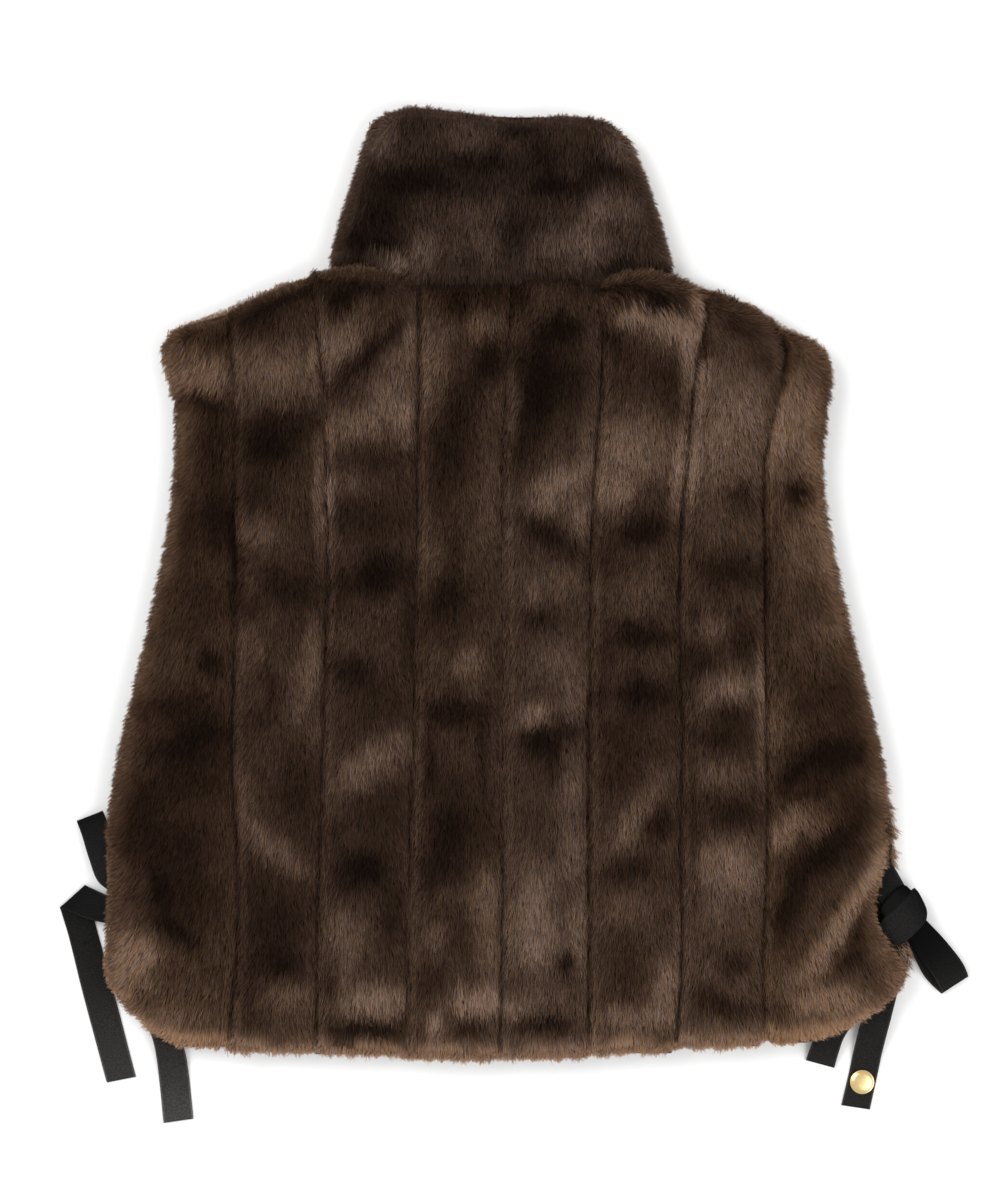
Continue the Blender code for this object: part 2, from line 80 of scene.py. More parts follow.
# closed shell: an upper and a lower grid (rows, cols, 3), walls all round between them; uv and
# shade are given once and hold for both
def shellPiece(name, upper, lower, material, uv=None, shade=None):
    rows, cols = upper.shape[:2]
    count = rows * cols
    index = np.arange(count).reshape(rows, cols)
    corners = [index[:-1, :-1], index[:-1, 1:], index[1:, 1:], index[1:, :-1]]
    quads = np.stack(corners, axis=-1).reshape(-1, 4)
    rim = np.concatenate([index[0, :-1], index[:-1, -1], index[-1, :0:-1], index[:0:-1, 0]])
    after = np.roll(rim, -1)
    walls = np.stack([rim, rim + count, after + count, after], axis=-1)
    faces = np.concatenate([quads, quads[:, ::-1] + count, walls])
    points = np.concatenate([upper.reshape(-1, 3), lower.reshape(-1, 3)])
    if uv is not None:
        uv = np.tile(uv.reshape(-1, 2), (2, 1))[faces.ravel()]
    if shade is not None:
        shade = np.tile(shade.ravel(), 2)
    return meshPiece(name, points, faces, material, uv, shade)


# cubic through table values: each row's slope comes from the rows beside it
def throughRows(xs, values, at):
    slopes = np.gradient(values, xs)
    at = np.clip(at, xs[0], xs[-1])
    i = np.clip(np.searchsorted(xs, at, side="right") - 1, 0, len(xs) - 2)
    step = xs[i + 1] - xs[i]
    t = (at - xs[i]) / step
    start = (1 + 2 * t) * (1 - t) ** 2 * values[i] + t * (1 - t) ** 2 * step * slopes[i]
    return start + t * t * (3 - 2 * t) * values[i + 1] + t * t * (t - 1) * step * slopes[i + 1]


noiseCells = 256  # lattice values each way before the noise repeats
noiseStart = 64  # lattice value at 0


# smooth noise from -1 to 1: seeded values on a square lattice, eased between its corners
def softNoise(x, y, cell, seed):
    rng = np.random.default_rng(seed)
    lattice = rng.uniform(-1, 1, (noiseCells, noiseCells))
    gx = x / cell + noiseStart
    gy = y / cell + noiseStart
    ix = np.floor(gx).astype(int)
    iy = np.floor(gy).astype(int)
    fx = gx - ix
    fy = gy - iy
    fx = fx * fx * (3 - 2 * fx)
    fy = fy * fy * (3 - 2 * fy)
    left, right = ix % noiseCells, (ix + 1) % noiseCells
    low, high = iy % noiseCells, (iy + 1) % noiseCells
    a = lattice[left, low] * (1 - fx) + lattice[right, low] * fx
    b = lattice[left, high] * (1 - fx) + lattice[right, high] * fx
    return a * (1 - fy) + b * fy


# noise times an amount, its cell in mm
def wave(x, y, size, seed):
    amount, cell = size
    return amount * softNoise(x, y, cell * mm, seed)


# fade off a line: exp(-(gap / reach)^2), reach in mm
def fade(gap, reach):
    return np.exp(-((gap / (reach * mm)) ** 2))


# fade in from an open edge, whole outside it
def edgeFade(gap, reach):
    return fade(np.clip(gap, 0, 1), reach)


# rows of vectors brought to length 1
def unit(rows):
    return rows / np.maximum(np.linalg.norm(rows, axis=1), 1e-12)[:, None]


# triangles of a frame node: corner points (n, 3, 3), face normals and areas
def nodeTriangles(node):
    mesh = nodes[node].data
    mesh.calc_loop_triangles()
    co = np.zeros(len(mesh.vertices) * 3, np.float32)
    mesh.vertices.foreach_get("co", co)
    tri = np.zeros(len(mesh.loop_triangles) * 3, np.int32)
    mesh.loop_triangles.foreach_get("vertices", tri)
    corners = co.reshape(-1, 3).astype(float)[tri.reshape(-1, 3)]
    cross = np.cross(corners[:, 1] - corners[:, 0], corners[:, 2] - corners[:, 0])
    size = np.linalg.norm(cross, axis=1)
    return corners, cross / np.maximum(size, 1e-12)[:, None], size / 2


# corner normals: at each place the sum of the faces that meet there, by area
def cornerNormals(corners, normals, areas):
    keys = np.round(corners.reshape(-1, 3) * 1e5).astype(np.int64)
    place, where = np.unique(keys, axis=0, return_inverse=True)
    where = where.ravel()
    total = np.zeros((len(place), 3))
    np.add.at(total, where, np.repeat(normals * areas[:, None], 3, axis=0))
    return unit(total)[where].reshape(-1, 3, 3)


# lowest and highest value of one axis of a node's outline, at even steps along the other
def nodeSpan(node, along, across, steps=160):
    corners = nodeTriangles(node)[0]
    a = corners[:, (0, 1, 2)].reshape(-1, 3)
    b = corners[:, (1, 2, 0)].reshape(-1, 3)
    low = corners[..., along].min() + 1e-6
    high = corners[..., along].max() - 1e-6
    at = np.linspace(low, high, steps)
    gap = b[:, along] - a[:, along]
    gap = np.where(np.abs(gap) < 1e-9, 1e-9, gap)
    least = np.zeros(steps)
    most = np.zeros(steps)
    for row, level in enumerate(at):
        t = (level - a[:, along]) / gap
        hit = (t >= 0) & (t <= 1)
        place = (a[:, across] + t * (b[:, across] - a[:, across]))[hit]
        least[row] = place.min()
        most[row] = place.max()
    return at, least, most


# where the sides are read for hem and top, up and down from the ends, and how far inside them, in mm
edgeRead = {"hem": 20.0, "top": 45.0, "inside": 3.0}


# how far points are from each side of a node's outline; hem and top are read between the sides
# as they stand near there, or a slanting side would pass for one of them
def edgeGaps(node, x, y):
    ys, left, right = nodeSpan(node, 1, 0)
    xs, low, high = nodeSpan(node, 0, 1)
    inside = edgeRead["inside"] * mm
    footY = ys[0] + edgeRead["hem"] * mm
    crownY = ys[-1] - edgeRead["top"] * mm
    foot = np.clip(x, np.interp(footY, ys, left) + inside, np.interp(footY, ys, right) - inside)
    crown = np.clip(x, np.interp(crownY, ys, left) + inside, np.interp(crownY, ys, right) - inside)
    return {
        "left": x - np.interp(y, ys, left),
        "right": np.interp(y, ys, right) - x,
        "hem": y - np.interp(foot, xs, low),
        "top": np.interp(crown, xs, high) - y,
    }


# the least gap to any of some sides
def nearest(gaps, sides):
    return np.min([gaps[side] for side in sides], axis=0)


# a material with its nodes, links and shader, the values set on the shader's sockets
def newMaterial(name, values):
    material = bpy.data.materials.new(name)
    material.use_nodes = True
    tree, links = material.node_tree.nodes, material.node_tree.links
    shader = tree["Principled BSDF"]
    for socket, value in values.items():
        shader.inputs[socket].default_value = value
    return material, tree, links, shader


# colours at places from 0 to 1, straight lines between them
def colourRamp(tree, stops):
    ramp = tree.new("ShaderNodeValToRGB")
    while len(ramp.color_ramp.elements) < len(stops):
        ramp.color_ramp.elements.new(0.5)
    for element, (place, colour) in zip(ramp.color_ramp.elements, stops):
        element.position = place
        element.color = (*colour, 1.0)
    return ramp


# the piece's own map as a whole, its u and its v
def ownMap(tree, links):
    place = tree.new("ShaderNodeUVMap")
    place.uv_map = mapName
    split = tree.new("ShaderNodeSeparateXYZ")
    links.new(place.outputs["UV"], split.inputs["Vector"])
    return place.outputs["UV"], split.outputs["X"], split.outputs["Y"]


# noise over the object's own coordinates
def objectGrain(tree, links, scale):
    spot = tree.new("ShaderNodeTexCoord")
    grain = tree.new("ShaderNodeTexNoise")
    grain.inputs["Scale"].default_value = scale
    links.new(spot.outputs["Object"], grain.inputs["Vector"])
    return grain.outputs["Fac"]


# one colour times another
def multiplied(tree, links, a, b):
    mix = tree.new("ShaderNodeMix")
    mix.data_type = "RGBA"
    mix.blend_type = "MULTIPLY"
    mix.inputs["Factor"].default_value = 1.0
    links.new(a, mix.inputs["A"])
    links.new(b, mix.inputs["B"])
    return mix.outputs["Result"]


# a height as bump on the shader's normal, depth in mm
def pressBump(tree, links, shader, height, depth, strength):
    bump = tree.new("ShaderNodeBump")
    bump.inputs["Strength"].default_value = strength
    bump.inputs["Distance"].default_value = depth * mm
    links.new(height, bump.inputs["Height"])
    links.new(bump.outputs["Normal"], shader.inputs["Normal"])


# pile: the map's u holds the strand's tone, dark to light, in three spans, one for each
# family of hair; v runs from root to tip, darker at the root. A tone is its green, its red
# over green and its green over blue; a family turns the last two
pileLook = {
    "tones": [(0.0082, 1.86, 1.22), (0.0205, 1.89, 1.45), (0.047, 1.82, 1.58), (0.125, 1.67, 1.52),
              (0.320, 1.58, 1.46)],
    "families": {"gold": (1.08, 1.24), "brown": (1.0, 1.0), "grey": (0.88, 0.82)},
    "depths": [(0.0, (0.12, 0.11, 0.10)), (0.45, (0.45, 0.43, 0.42)), (1.0, (1.0, 1.0, 1.0))],
    "start": 0.01,
    "filled": 0.97,
    "shader": {"Roughness": 0.6, "Specular IOR Level": 0.06},
}


# place in u of a tone: start + (family + filled * tone) / number of families
def toneAt(family, tone):
    return pileLook["start"] + (family + pileLook["filled"] * tone) / len(pileLook["families"])


# colour of the pile: the tone's ramp over u times the depth's ramp over v
def pileMaterial():
    material, tree, links, shader = newMaterial("pile", pileLook["shader"])
    u, v = ownMap(tree, links)[1:]
    share = np.linspace(0, 1, len(pileLook["tones"]))
    stops = []
    for order, (warm, deep) in enumerate(pileLook["families"].values()):
        for s, (green, red, blue) in zip(share, pileLook["tones"]):
            stops.append((toneAt(order, s), (green * red * warm, green, green / (blue * deep))))
    tone = colourRamp(tree, stops)
    depth = colourRamp(tree, pileLook["depths"])
    links.new(u, tone.inputs["Fac"])
    links.new(v, depth.inputs["Fac"])
    colour = multiplied(tree, links, tone.outputs["Color"], depth.outputs["Color"])
    links.new(colour, shader.inputs["Base Color"])
    return material


pile = pileMaterial()

undercoatLook = {
    "shades": [(0.3, (0.008, 0.005, 0.004)), (0.7, (0.022, 0.013, 0.009))],
    "grain": 450.0,
    "bump": 0.6,
    "shader": {"Roughness": 0.95, "Specular IOR Level": 0.1},
}


# short dense undercoat: two dark browns mottled by noise, with a fine bump
def undercoatMaterial():
    material, tree, links, shader = newMaterial("undercoat", undercoatLook["shader"])
    grain = objectGrain(tree, links, undercoatLook["grain"])
    shades = colourRamp(tree, undercoatLook["shades"])
    links.new(grain, shades.inputs["Fac"])
    links.new(shades.outputs["Color"], shader.inputs["Base Color"])
    pressBump(tree, links, shader, grain, undercoatLook["bump"], 1.0)
    return material


undercoat = undercoatMaterial()
print("fur materials made")

# places of painted nap shade and sheen in the fur of each piece, partly also the fur's own tone: middle x
# and y, half width, half height, turn in degrees, depth (under 0 dark, painted shade; over 0 light,
# painted sheen); units of 0.4667 mm from upper left
patchUnit = 0.46667
patchLeft = -280.0
patchTop = 687.4
toneSheenShadePatches = {
    "back_strip_1": [
        (122, 386, 24, 16, -15, -0.65), (188, 400, 26, 18, -10, -0.38), (150, 447, 66, 40, 6, 0.7),
        (150, 492, 46, 13, 8, -0.8), (170, 560, 24, 58, 0, -0.6), (180, 665, 28, 45, 0, -0.85),
        (200, 735, 8, 80, 0, -0.5), (150, 775, 45, 55, 0, -0.25), (168, 880, 18, 20, 0, -0.9),
        (162, 985, 40, 22, 0, -1.2), (110, 1003, 45, 20, -5, -0.65), (120, 946, 60, 28, 0, -0.65),
        (130, 1018, 62, 14, 0, -0.5), (130, 1052, 68, 36, 0, -0.55), (76, 1080, 28, 22, 0, -0.4),
        (46, 1125, 28, 50, 10, -0.6), (110, 1150, 58, 52, 0, -0.7), (122, 1235, 58, 46, 0, -0.58),
        (90, 1218, 15, 36, -15, -0.8), (117, 1285, 44, 15, 32, -0.95), (50, 1322, 40, 46, 0, 0.85),
        (130, 678, 24, 44, 0, -0.4), (114, 1411, 66, 15, 0, 0.36),
    ],
    "back_strip_2": [
        (262, 338, 80, 24, -20, -0.88), (235, 376, 36, 18, -15, -0.35), (266, 450, 72, 49, -6, 0.6),
        (254, 548, 44, 43, 0, -1.02), (312, 520, 20, 24, 0, -0.5), (232, 630, 26, 30, 0, -0.45),
        (332, 630, 9, 95, 0, 0.65), (207, 745, 8, 70, 0, -0.5), (235, 685, 36, 24, 0, 0.55),
        (288, 772, 44, 28, 0, -0.6), (255, 742, 24, 16, 20, -0.35), (225, 795, 20, 25, 0, -0.3),
        (225, 852, 20, 40, 0, 0.35), (320, 868, 15, 55, 0, 0.6), (255, 920, 10, 40, 0, -0.4),
        (240, 965, 25, 16, 0, -0.35), (300, 930, 18, 48, 0, 0.45), (294, 1066, 28, 51, 0, -0.46),
        (214, 1074, 16, 46, -15, 0.28), (255, 1150, 52, 20, 42, 0.55), (298, 1189, 25, 16, 20, 0.42),
        (322, 420, 9, 40, 0, 0.55), (228, 1200, 22, 18, 0, -0.3), (260, 1268, 48, 60, 0, -0.6),
        (283, 1333, 25, 28, 0, -0.65), (248, 1332, 44, 24, 0, -0.45), (222, 1380, 18, 28, 0, -0.5),
        (286, 1376, 38, 17, 0, 0.45), (232, 1416, 22, 12, 0, -0.3), (330, 985, 12, 40, 0, 0.3),
    ],
    "back_strip_3": [
        (382, 318, 68, 20, -6, -0.75), (362, 400, 50, 40, -38, 0.66), (404, 420, 80, 15, -42, -0.9),
        (440, 472, 38, 70, 12, 0.64), (460, 530, 16, 44, 0, 0.5), (378, 528, 44, 25, -5, 0.6),
        (468, 385, 9, 45, 0, 0.5), (428, 577, 46, 16, 0, -0.35), (368, 610, 42, 14, 8, 0.35),
        (340, 650, 10, 60, 0, 1.0), (402, 664, 60, 34, 0, -0.4), (424, 744, 46, 33, 0, -0.88),
        (412, 757, 22, 20, 0, -0.4), (372, 765, 28, 20, 0, -0.5), (464, 830, 12, 54, 0, -0.58),
        (366, 848, 28, 16, 0, 0.15), (382, 895, 38, 26, 0, -0.68), (420, 945, 44, 34, 0, -0.3),
        (405, 1030, 72, 30, -28, 0.68), (428, 1112, 46, 42, -30, -0.33), (355, 1130, 15, 20, 0, -0.35),
        (396, 1188, 42, 32, -10, -1.2), (438, 1262, 22, 40, 0, -0.45), (370, 1284, 32, 42, 0, 0.55),
        (366, 1342, 20, 26, 0, 0.3), (415, 1385, 58, 26, 0, 0.86), (344, 1368, 11, 22, 0, -0.45),
        (401, 1431, 56, 16, 4, -1.25), (360, 349, 23, 21, 0, -1.0), (345, 556, 10, 26, 0, 0.5),
    ],
    "back_strip_4": [
        (540, 326, 20, 34, 0, -0.55), (590, 325, 24, 30, 0, -0.42), (500, 318, 24, 14, 0, -0.3),
        (498, 430, 30, 80, 8, 0.46), (576, 376, 26, 20, 0, 0.45), (586, 430, 24, 32, 15, -1.0),
        (530, 545, 32, 105, 14, -0.62), (584, 615, 20, 66, 0, 0.28), (492, 695, 18, 58, 0, 0.25),
        (531, 712, 11, 42, 0, -0.35), (574, 696, 22, 50, 0, 0.13), (522, 780, 27, 34, 14, -0.8),
        (562, 768, 18, 18, 0, -0.3), (555, 880, 28, 24, 0, 0.5), (532, 955, 50, 25, 8, -0.9),
        (495, 1030, 13, 50, 0, -0.5), (576, 1015, 9, 60, 0, -0.4), (530, 1072, 44, 36, 0, -0.35),
        (526, 1128, 32, 37, 10, -0.9), (576, 1130, 28, 44, 0, -0.35), (514, 1182, 40, 28, -10, -0.57),
        (494, 1216, 14, 22, 0, -0.4), (580, 1230, 28, 44, 0, 0.65), (505, 1290, 20, 24, 0, 0.3),
        (540, 1280, 15, 34, 0, -0.12), (586, 1312, 24, 48, 0, 0.5), (500, 1362, 27, 28, 0, -0.42),
        (566, 1386, 46, 22, 0, 1.0), (500, 1422, 14, 20, 0, 0.9), (555, 1431, 22, 13, 0, -0.9),
        (534, 351, 46, 20, 0, -0.4), (522, 818, 42, 36, 0, -0.25), (482, 830, 9, 70, 0, -0.3),
    ],
    "back_strip_5": [
        (622, 332, 20, 34, 0, -0.78), (725, 322, 22, 16, 0, -0.35), (690, 378, 36, 22, 0, -1.2),
        (706, 408, 20, 16, 0, -0.35), (620, 525, 8, 88, 2, 0.3), (656, 448, 30, 58, 5, -1.18),
        (704, 462, 30, 46, 0, -0.65), (652, 520, 32, 46, 12, -0.62), (626, 566, 17, 32, 0, -0.45),
        (692, 616, 62, 27, -25, 0.75), (732, 554, 18, 54, 0, 0.36), (720, 662, 22, 28, 0, 0.6),
        (674, 691, 55, 21, 30, -0.66), (618, 718, 12, 55, 0, 0.17), (690, 762, 44, 30, 0, 0.3),
        (660, 816, 25, 16, 5, -0.65), (695, 882, 42, 36, 0, 0.4), (650, 954, 27, 18, -18, 0.75),
        (712, 932, 22, 36, 0, 0.35), (682, 985, 48, 17, -5, -0.75), (655, 1006, 28, 20, 0, -0.75),
        (680, 1032, 14, 34, 0, -0.45), (706, 1072, 26, 58, 10, 0.45), (712, 1165, 28, 40, 0, 0.45),
        (648, 1205, 40, 38, 0, 0.4), (650, 1284, 44, 64, 0, 0.75), (719, 1286, 20, 66, 0, 0.6),
        (697, 1331, 14, 20, 0, -0.9), (664, 1384, 56, 17, 0, 0.14), (622, 1398, 24, 15, 0, 0.5),
        (670, 1421, 40, 16, 0, -1.1), (626, 1426, 20, 10, 0, -0.4), (622, 420, 12, 38, 0, -0.35),
        (642, 778, 22, 20, 0, 0.45),
    ],
    "back_strip_6": [
        (818, 320, 72, 17, 9, -0.9), (764, 392, 36, 17, 48, -0.65), (858, 380, 52, 27, 14, 0.95),
        (793, 366, 26, 14, 0, 0.78), (902, 332, 12, 44, -8, 0.95), (884, 434, 13, 60, 5, 0.7),
        (800, 452, 46, 40, 0, -0.2), (850, 462, 22, 42, -18, -0.35), (800, 562, 66, 58, 0, 0.7),
        (765, 628, 34, 28, -20, 0.6), (868, 595, 11, 74, 4, 0.75), (822, 681, 40, 26, -15, -0.82),
        (786, 692, 34, 20, -20, -0.3), (755, 726, 18, 22, 0, -0.3), (808, 772, 46, 30, 0, 0.2),
        (800, 838, 28, 22, 20, -1.0), (840, 840, 25, 15, 0, -0.6), (760, 866, 20, 20, 0, -0.4),
        (816, 926, 48, 26, 0, -1.0), (745, 930, 14, 30, 0, -0.35), (790, 992, 56, 44, 0, -0.33),
        (772, 1060, 30, 34, 0, -0.4), (802, 1115, 78, 22, -51, 0.55), (838, 1118, 26, 23, -35, -0.76),
        (793, 1188, 40, 23, -15, -0.57), (790, 1248, 52, 28, -20, 0.35), (790, 1342, 32, 44, 10, -0.4),
        (850, 1368, 24, 50, 10, 0.6), (800, 1412, 62, 18, 0, 0.52), (850, 350, 28, 16, 10, -1.3),
        (867, 905, 8, 120, 0, -0.12), (873, 1270, 9, 48, 0, 0.52),
    ],
    "back_strip_7": [
        (938, 342, 28, 22, 20, -0.32), (973, 375, 30, 22, 30, -0.53), (995, 426, 22, 20, 0, -0.4),
        (910, 397, 9, 40, 10, -0.3), (930, 494, 46, 76, 8, 0.43), (945, 585, 58, 70, 0, 0.35),
        (890, 590, 12, 66, 4, 0.5), (905, 455, 9, 40, 8, 0.4), (986, 500, 28, 66, 0, 0.4),
        (962, 632, 26, 28, 0, -0.6), (935, 680, 40, 22, 0, 0.1), (945, 745, 56, 29, 5, -0.7),
        (950, 806, 48, 18, 0, -0.3), (926, 826, 26, 22, 0, 0.4), (966, 850, 32, 28, -35, -0.65),
        (902, 884, 26, 36, 0, -0.6), (986, 890, 16, 30, 0, 0.2), (936, 920, 46, 21, -5, 0.65),
        (950, 976, 42, 38, -30, -0.6), (918, 995, 28, 20, 0, -0.42), (930, 1045, 50, 16, 0, 0.26),
        (945, 1102, 50, 33, 10, -0.65), (946, 1186, 58, 44, 0, 0.7), (940, 1256, 50, 26, 0, 0.2),
        (951, 1328, 29, 20, 0, -0.6), (920, 1386, 32, 28, 20, -0.76), (966, 1400, 36, 20, 0, -0.6),
        (886, 1125, 10, 130, 0, -0.38), (995, 945, 9, 108, 0, 0.6), (881, 905, 8, 120, 0, -0.36),
        (890, 804, 10, 28, 0, -0.25),
    ],
    "back_strip_8": [
        (1031, 425, 8, 42, 0, -0.5), (1070, 430, 34, 44, 0, 0.2), (1036, 510, 40, 58, 15, 0.85),
        (1062, 575, 28, 34, 0, 0.4), (1049, 629, 19, 17, 0, -0.98), (1055, 702, 40, 58, 0, 0.4),
        (1004, 770, 9, 70, -5, -0.4), (1085, 930, 50, 40, 0, -0.34), (1016, 964, 20, 48, 10, 0.32),
        (1098, 1019, 59, 33, -15, -1.05), (1036, 1050, 32, 17, -45, -0.8), (1126, 964, 30, 26, 0, -0.2),
        (1070, 1076, 54, 17, -20, -0.5), (1032, 1128, 46, 21, -35, 0.74), (1090, 1122, 30, 11, -35, 0.5),
        (1102, 1157, 50, 26, -42, -0.95), (1056, 1188, 42, 25, -60, -0.57), (1030, 1253, 21, 45, 18, -0.8),
        (1130, 1100, 30, 28, 0, -0.47), (1162, 1196, 62, 15, -50, 0.86), (1110, 1276, 60, 15, -58, 0.9),
        (1056, 1345, 50, 21, -40, 0.48), (1138, 1270, 16, 38, 12, -0.66), (1130, 1326, 26, 18, -20, -0.8),
        (1008, 1396, 25, 18, 0, -0.38), (1092, 1388, 60, 20, -5, 0.85), (1096, 735, 20, 100, -6, 0.16),
        (1015, 568, 14, 58, 0, 0.48), (1098, 500, 12, 70, 0, -0.35), (1088, 842, 44, 24, 0, 0.25),
    ],
    "collar_back": [
        (490, 84, 40, 22, 0, -0.15), (532, 98, 58, 26, 0, 0.28), (628, 76, 24, 15, 0, -1.25),
        (424, 95, 24, 40, 15, 0.6), (780, 105, 30, 30, 30, 0.5), (378, 180, 13, 56, 15, 0.12),
        (466, 161, 54, 26, -8, -1.0), (416, 254, 24, 13, 0, -0.75), (420, 218, 36, 38, 12, -0.77),
        (384, 256, 20, 24, 0, -0.9), (572, 135, 56, 20, 8, -0.75), (668, 128, 26, 30, 0, -0.7),
        (545, 172, 60, 13, 0, -0.45), (690, 170, 42, 18, 0, -1.1), (745, 140, 32, 20, -15, -0.55),
        (440, 284, 28, 11, 10, 1.0), (485, 265, 18, 30, 0, 0.55), (545, 225, 45, 40, 0, 0.3),
        (584, 180, 20, 14, 0, 0.12), (622, 248, 22, 34, 0, -0.36), (580, 262, 15, 28, 0, 0.35),
        (640, 210, 30, 24, 0, -0.2), (655, 262, 34, 28, -35, 0.4), (758, 196, 46, 30, 8, 0.55),
        (772, 150, 36, 16, 10, -0.35), (726, 254, 42, 40, 0, 0.7), (804, 228, 24, 40, 0, 0.18),
        (772, 286, 27, 9, -12, -1.45), (530, 82, 46, 24, 0, 0.15), (594, 202, 14, 20, 0, 0.2),
    ],
}

# edges of the patches: shift and cell of the noise in x, in y and along the hair, where it is
# stretched, and the power a patch fades by
patchEdge = {"x": (2.2 * mm, 9.0), "y": (2.5 * mm, 8.0), "hair": (1.6 * mm, 2.0), "stretch": 0.25,
             "power": 1.4}


# painted nap shade and sheen at points, partly the fur's own tone: the sum of the patches, each fading
# with distance, edges broken by noise
def patchToneSheenShade(rows, x, y, seed):
    wobbleX = x + wave(x, y, patchEdge["x"], seed)
    wobbleY = y + wave(x, y, patchEdge["y"], seed + 2)
    wobbleY += wave(x, y * patchEdge["stretch"], patchEdge["hair"], seed + 3)
    shade = np.zeros(len(x))
    for px, py, wide, tall, turn, depth in rows:
        dx = (wobbleX - shiftX) / mm - (patchLeft + px * patchUnit)
        dy = (wobbleY - shiftY) / mm - (patchTop - py * patchUnit)
        angle = np.radians(-turn)
        along = dx * np.cos(angle) + dy * np.sin(angle)
        across = -dx * np.sin(angle) + dy * np.cos(angle)
        reach = (along / (wide * patchUnit)) ** 2 + (across / (tall * patchUnit)) ** 2
        shade += depth * np.exp(-(reach ** patchEdge["power"]))
    return shade


# strands: a point on the outside of the solid is a tip, and the root lies back along the nap;
# tips sink a little, all by chance and dark ones more
furSizes = {
    "length": 8.0 * mm, "width": 0.41 * mm, "density": 2.3e6, "fringe": 3.4 * mm, "lift": 0.52,
    "lifts": (0.12, 1.25), "shadeLift": 0.26, "sink": 2.4, "shadeSink": 1.2,
}
# how unlike strands are: shares of length and width, sideways nap, lift, roll and tone
spread = {"length": 0.16, "width": 0.25, "nap": 0.17, "lift": 0.10, "roll": 0.6, "tone": 0.075}
# open edges: how much denser and within what band, width of the ragged rim, share of the length
# at the edge and where it is whole, more lift, height of the tufts, how far hair stops short
openEdge = {"dense": 0.9, "band": 9.0, "rim": 6.0, "short": 0.62, "whole": 12.0, "lift": 0.25,
            "tuft": 1.1, "stop": 0.5}
# shade beside a strand: how far off it is read in x and y, wide noise and noise along the hair
shadeLook = {"x": 1.1 * mm, "y": 2.8 * mm, "wide": (0.10, 14.0), "hair": (0.07, 2.6), "stretch": 0.4}
# nap: half width of the garment, the share of it where hair begins to lean outwards, over what
# share and how far; how it follows the slope of seams, edges, top and hem, depth of the sweep,
# wide and fine noise
napLook = {"half": 260.0, "from": 0.55, "over": 0.45, "outwards": 0.45, "seam": 0.2, "edge": 2.2,
           "top": 2.6, "hem": 0.6, "sweep": 32.0, "wide": (0.16, 20.0), "fine": (0.09, 4.0)}
# how the hair fills a seam: rise at the seam and how far off it starts, how far the hair stands off the
# groove's slope, how far tips lean across, the dark line of painted groove shade in it and its width, and
# for the neck the half width within which tips lean and where that fades
stripSeam = {"rise": 4.7, "reach": 8.0, "flat": 0.85, "lean": 0.6, "dark": 0.24, "line": 1.05}
collarFoot = {"rise": 2.2, "reach": 9.0, "flat": 0.85, "lean": 5.0, "dark": 0.14, "line": 3.5}
neckSeam = {"rise": 2.2, "reach": 9.0, "flat": 0.85, "lean": 1.0, "dark": 0.20, "line": 3.0}
neckPuff = {"rise": 3.0, "reach": 9.0, "flat": 0.0, "lean": 3.5, "dark": 0.0, "line": 1.0,
            "span": 122.0, "fade": 16.0}
# hair at seams: sideways share of a wall's normal, least share of the rise, how far hair of a wall
# crosses (least and more) and how near the seam, half width of the neck's middle
seamHair = {"wall": 0.8, "least": 0.3, "cross": (0.5, 1.5), "near": 30.0, "neck": 42.0}
# least height of roots and tips
leastHeight = {"root": 0.3, "tip": 0.2}
# how tips gather: size of a cell, share of the way drawn inside and at open edges
gather = {"cell": 2.7, "within": 0.15, "edge": 0.85}
# heights where the right edge of a piece draws back, beside the tie
backHeights = [85.0, 110.0, 165.0, 205.0]
# how strong the painted groove shade of each seam is near the hem, halfway up and near the top (under 0 it
# turns to a pale line of painted highlight), and its noise
seamHeights = [40.0, 250.0, 470.0]
seamNoise = {"amount": 0.25, "cell": 22.0, "seed": 700}
seamShadeAndHighlight = {1: [0.85, 0.75, 0.5], 2: [0.65, 0.75, 0.2], 3: [0.25, 0.2, 0.45], 4: [0.9, -0.25, 0.2],
             5: [0.9, 0.7, 0.5], 6: [1.1, 1.0, 0.95], 7: [0.75, 0.8, 0.95]}
# tone: slope on dark and light patches (painted nap shade and sheen) and their limit, light near the hem
# and its reach, a painted highlight on the lit side beside a seam with its place and reach, how uneven the
# painted light of the rims is
toneLook = {"dark": 0.385, "light": 0.455, "limit": 1.3, "hem": (0.118, 60.0), "beside": (0.08, 4.5, 2.5),
            "even": 0.83, "uneven": (0.85, 15.0), "unevens": (0.15, 1.4), "edge": 3.5}
# share of grey and gold hair, what shade and the painted rim light add to it, and its limits; more grey
# hair on light patches paints their sheen
greyHair = {"share": 0.24, "shade": 0.22, "glow": -0.25, "limits": (0.03, 0.7)}
goldHair = {"share": 0.36, "shade": -0.16, "glow": 0.25, "limits": (0.05, 0.85)}
# more gold at the top, how far down, and what one kind takes from the other
topGold = {"amount": 0.15, "reach": 30.0, "takes": 0.5}
# v at the root, what the painted rim light and the light patches (painted sheen) add there, v at the tip,
# tone across the root
strandV = {"root": 0.02, "glow": 0.5, "shade": 0.12, "tip": 0.98, "across": 0.003}


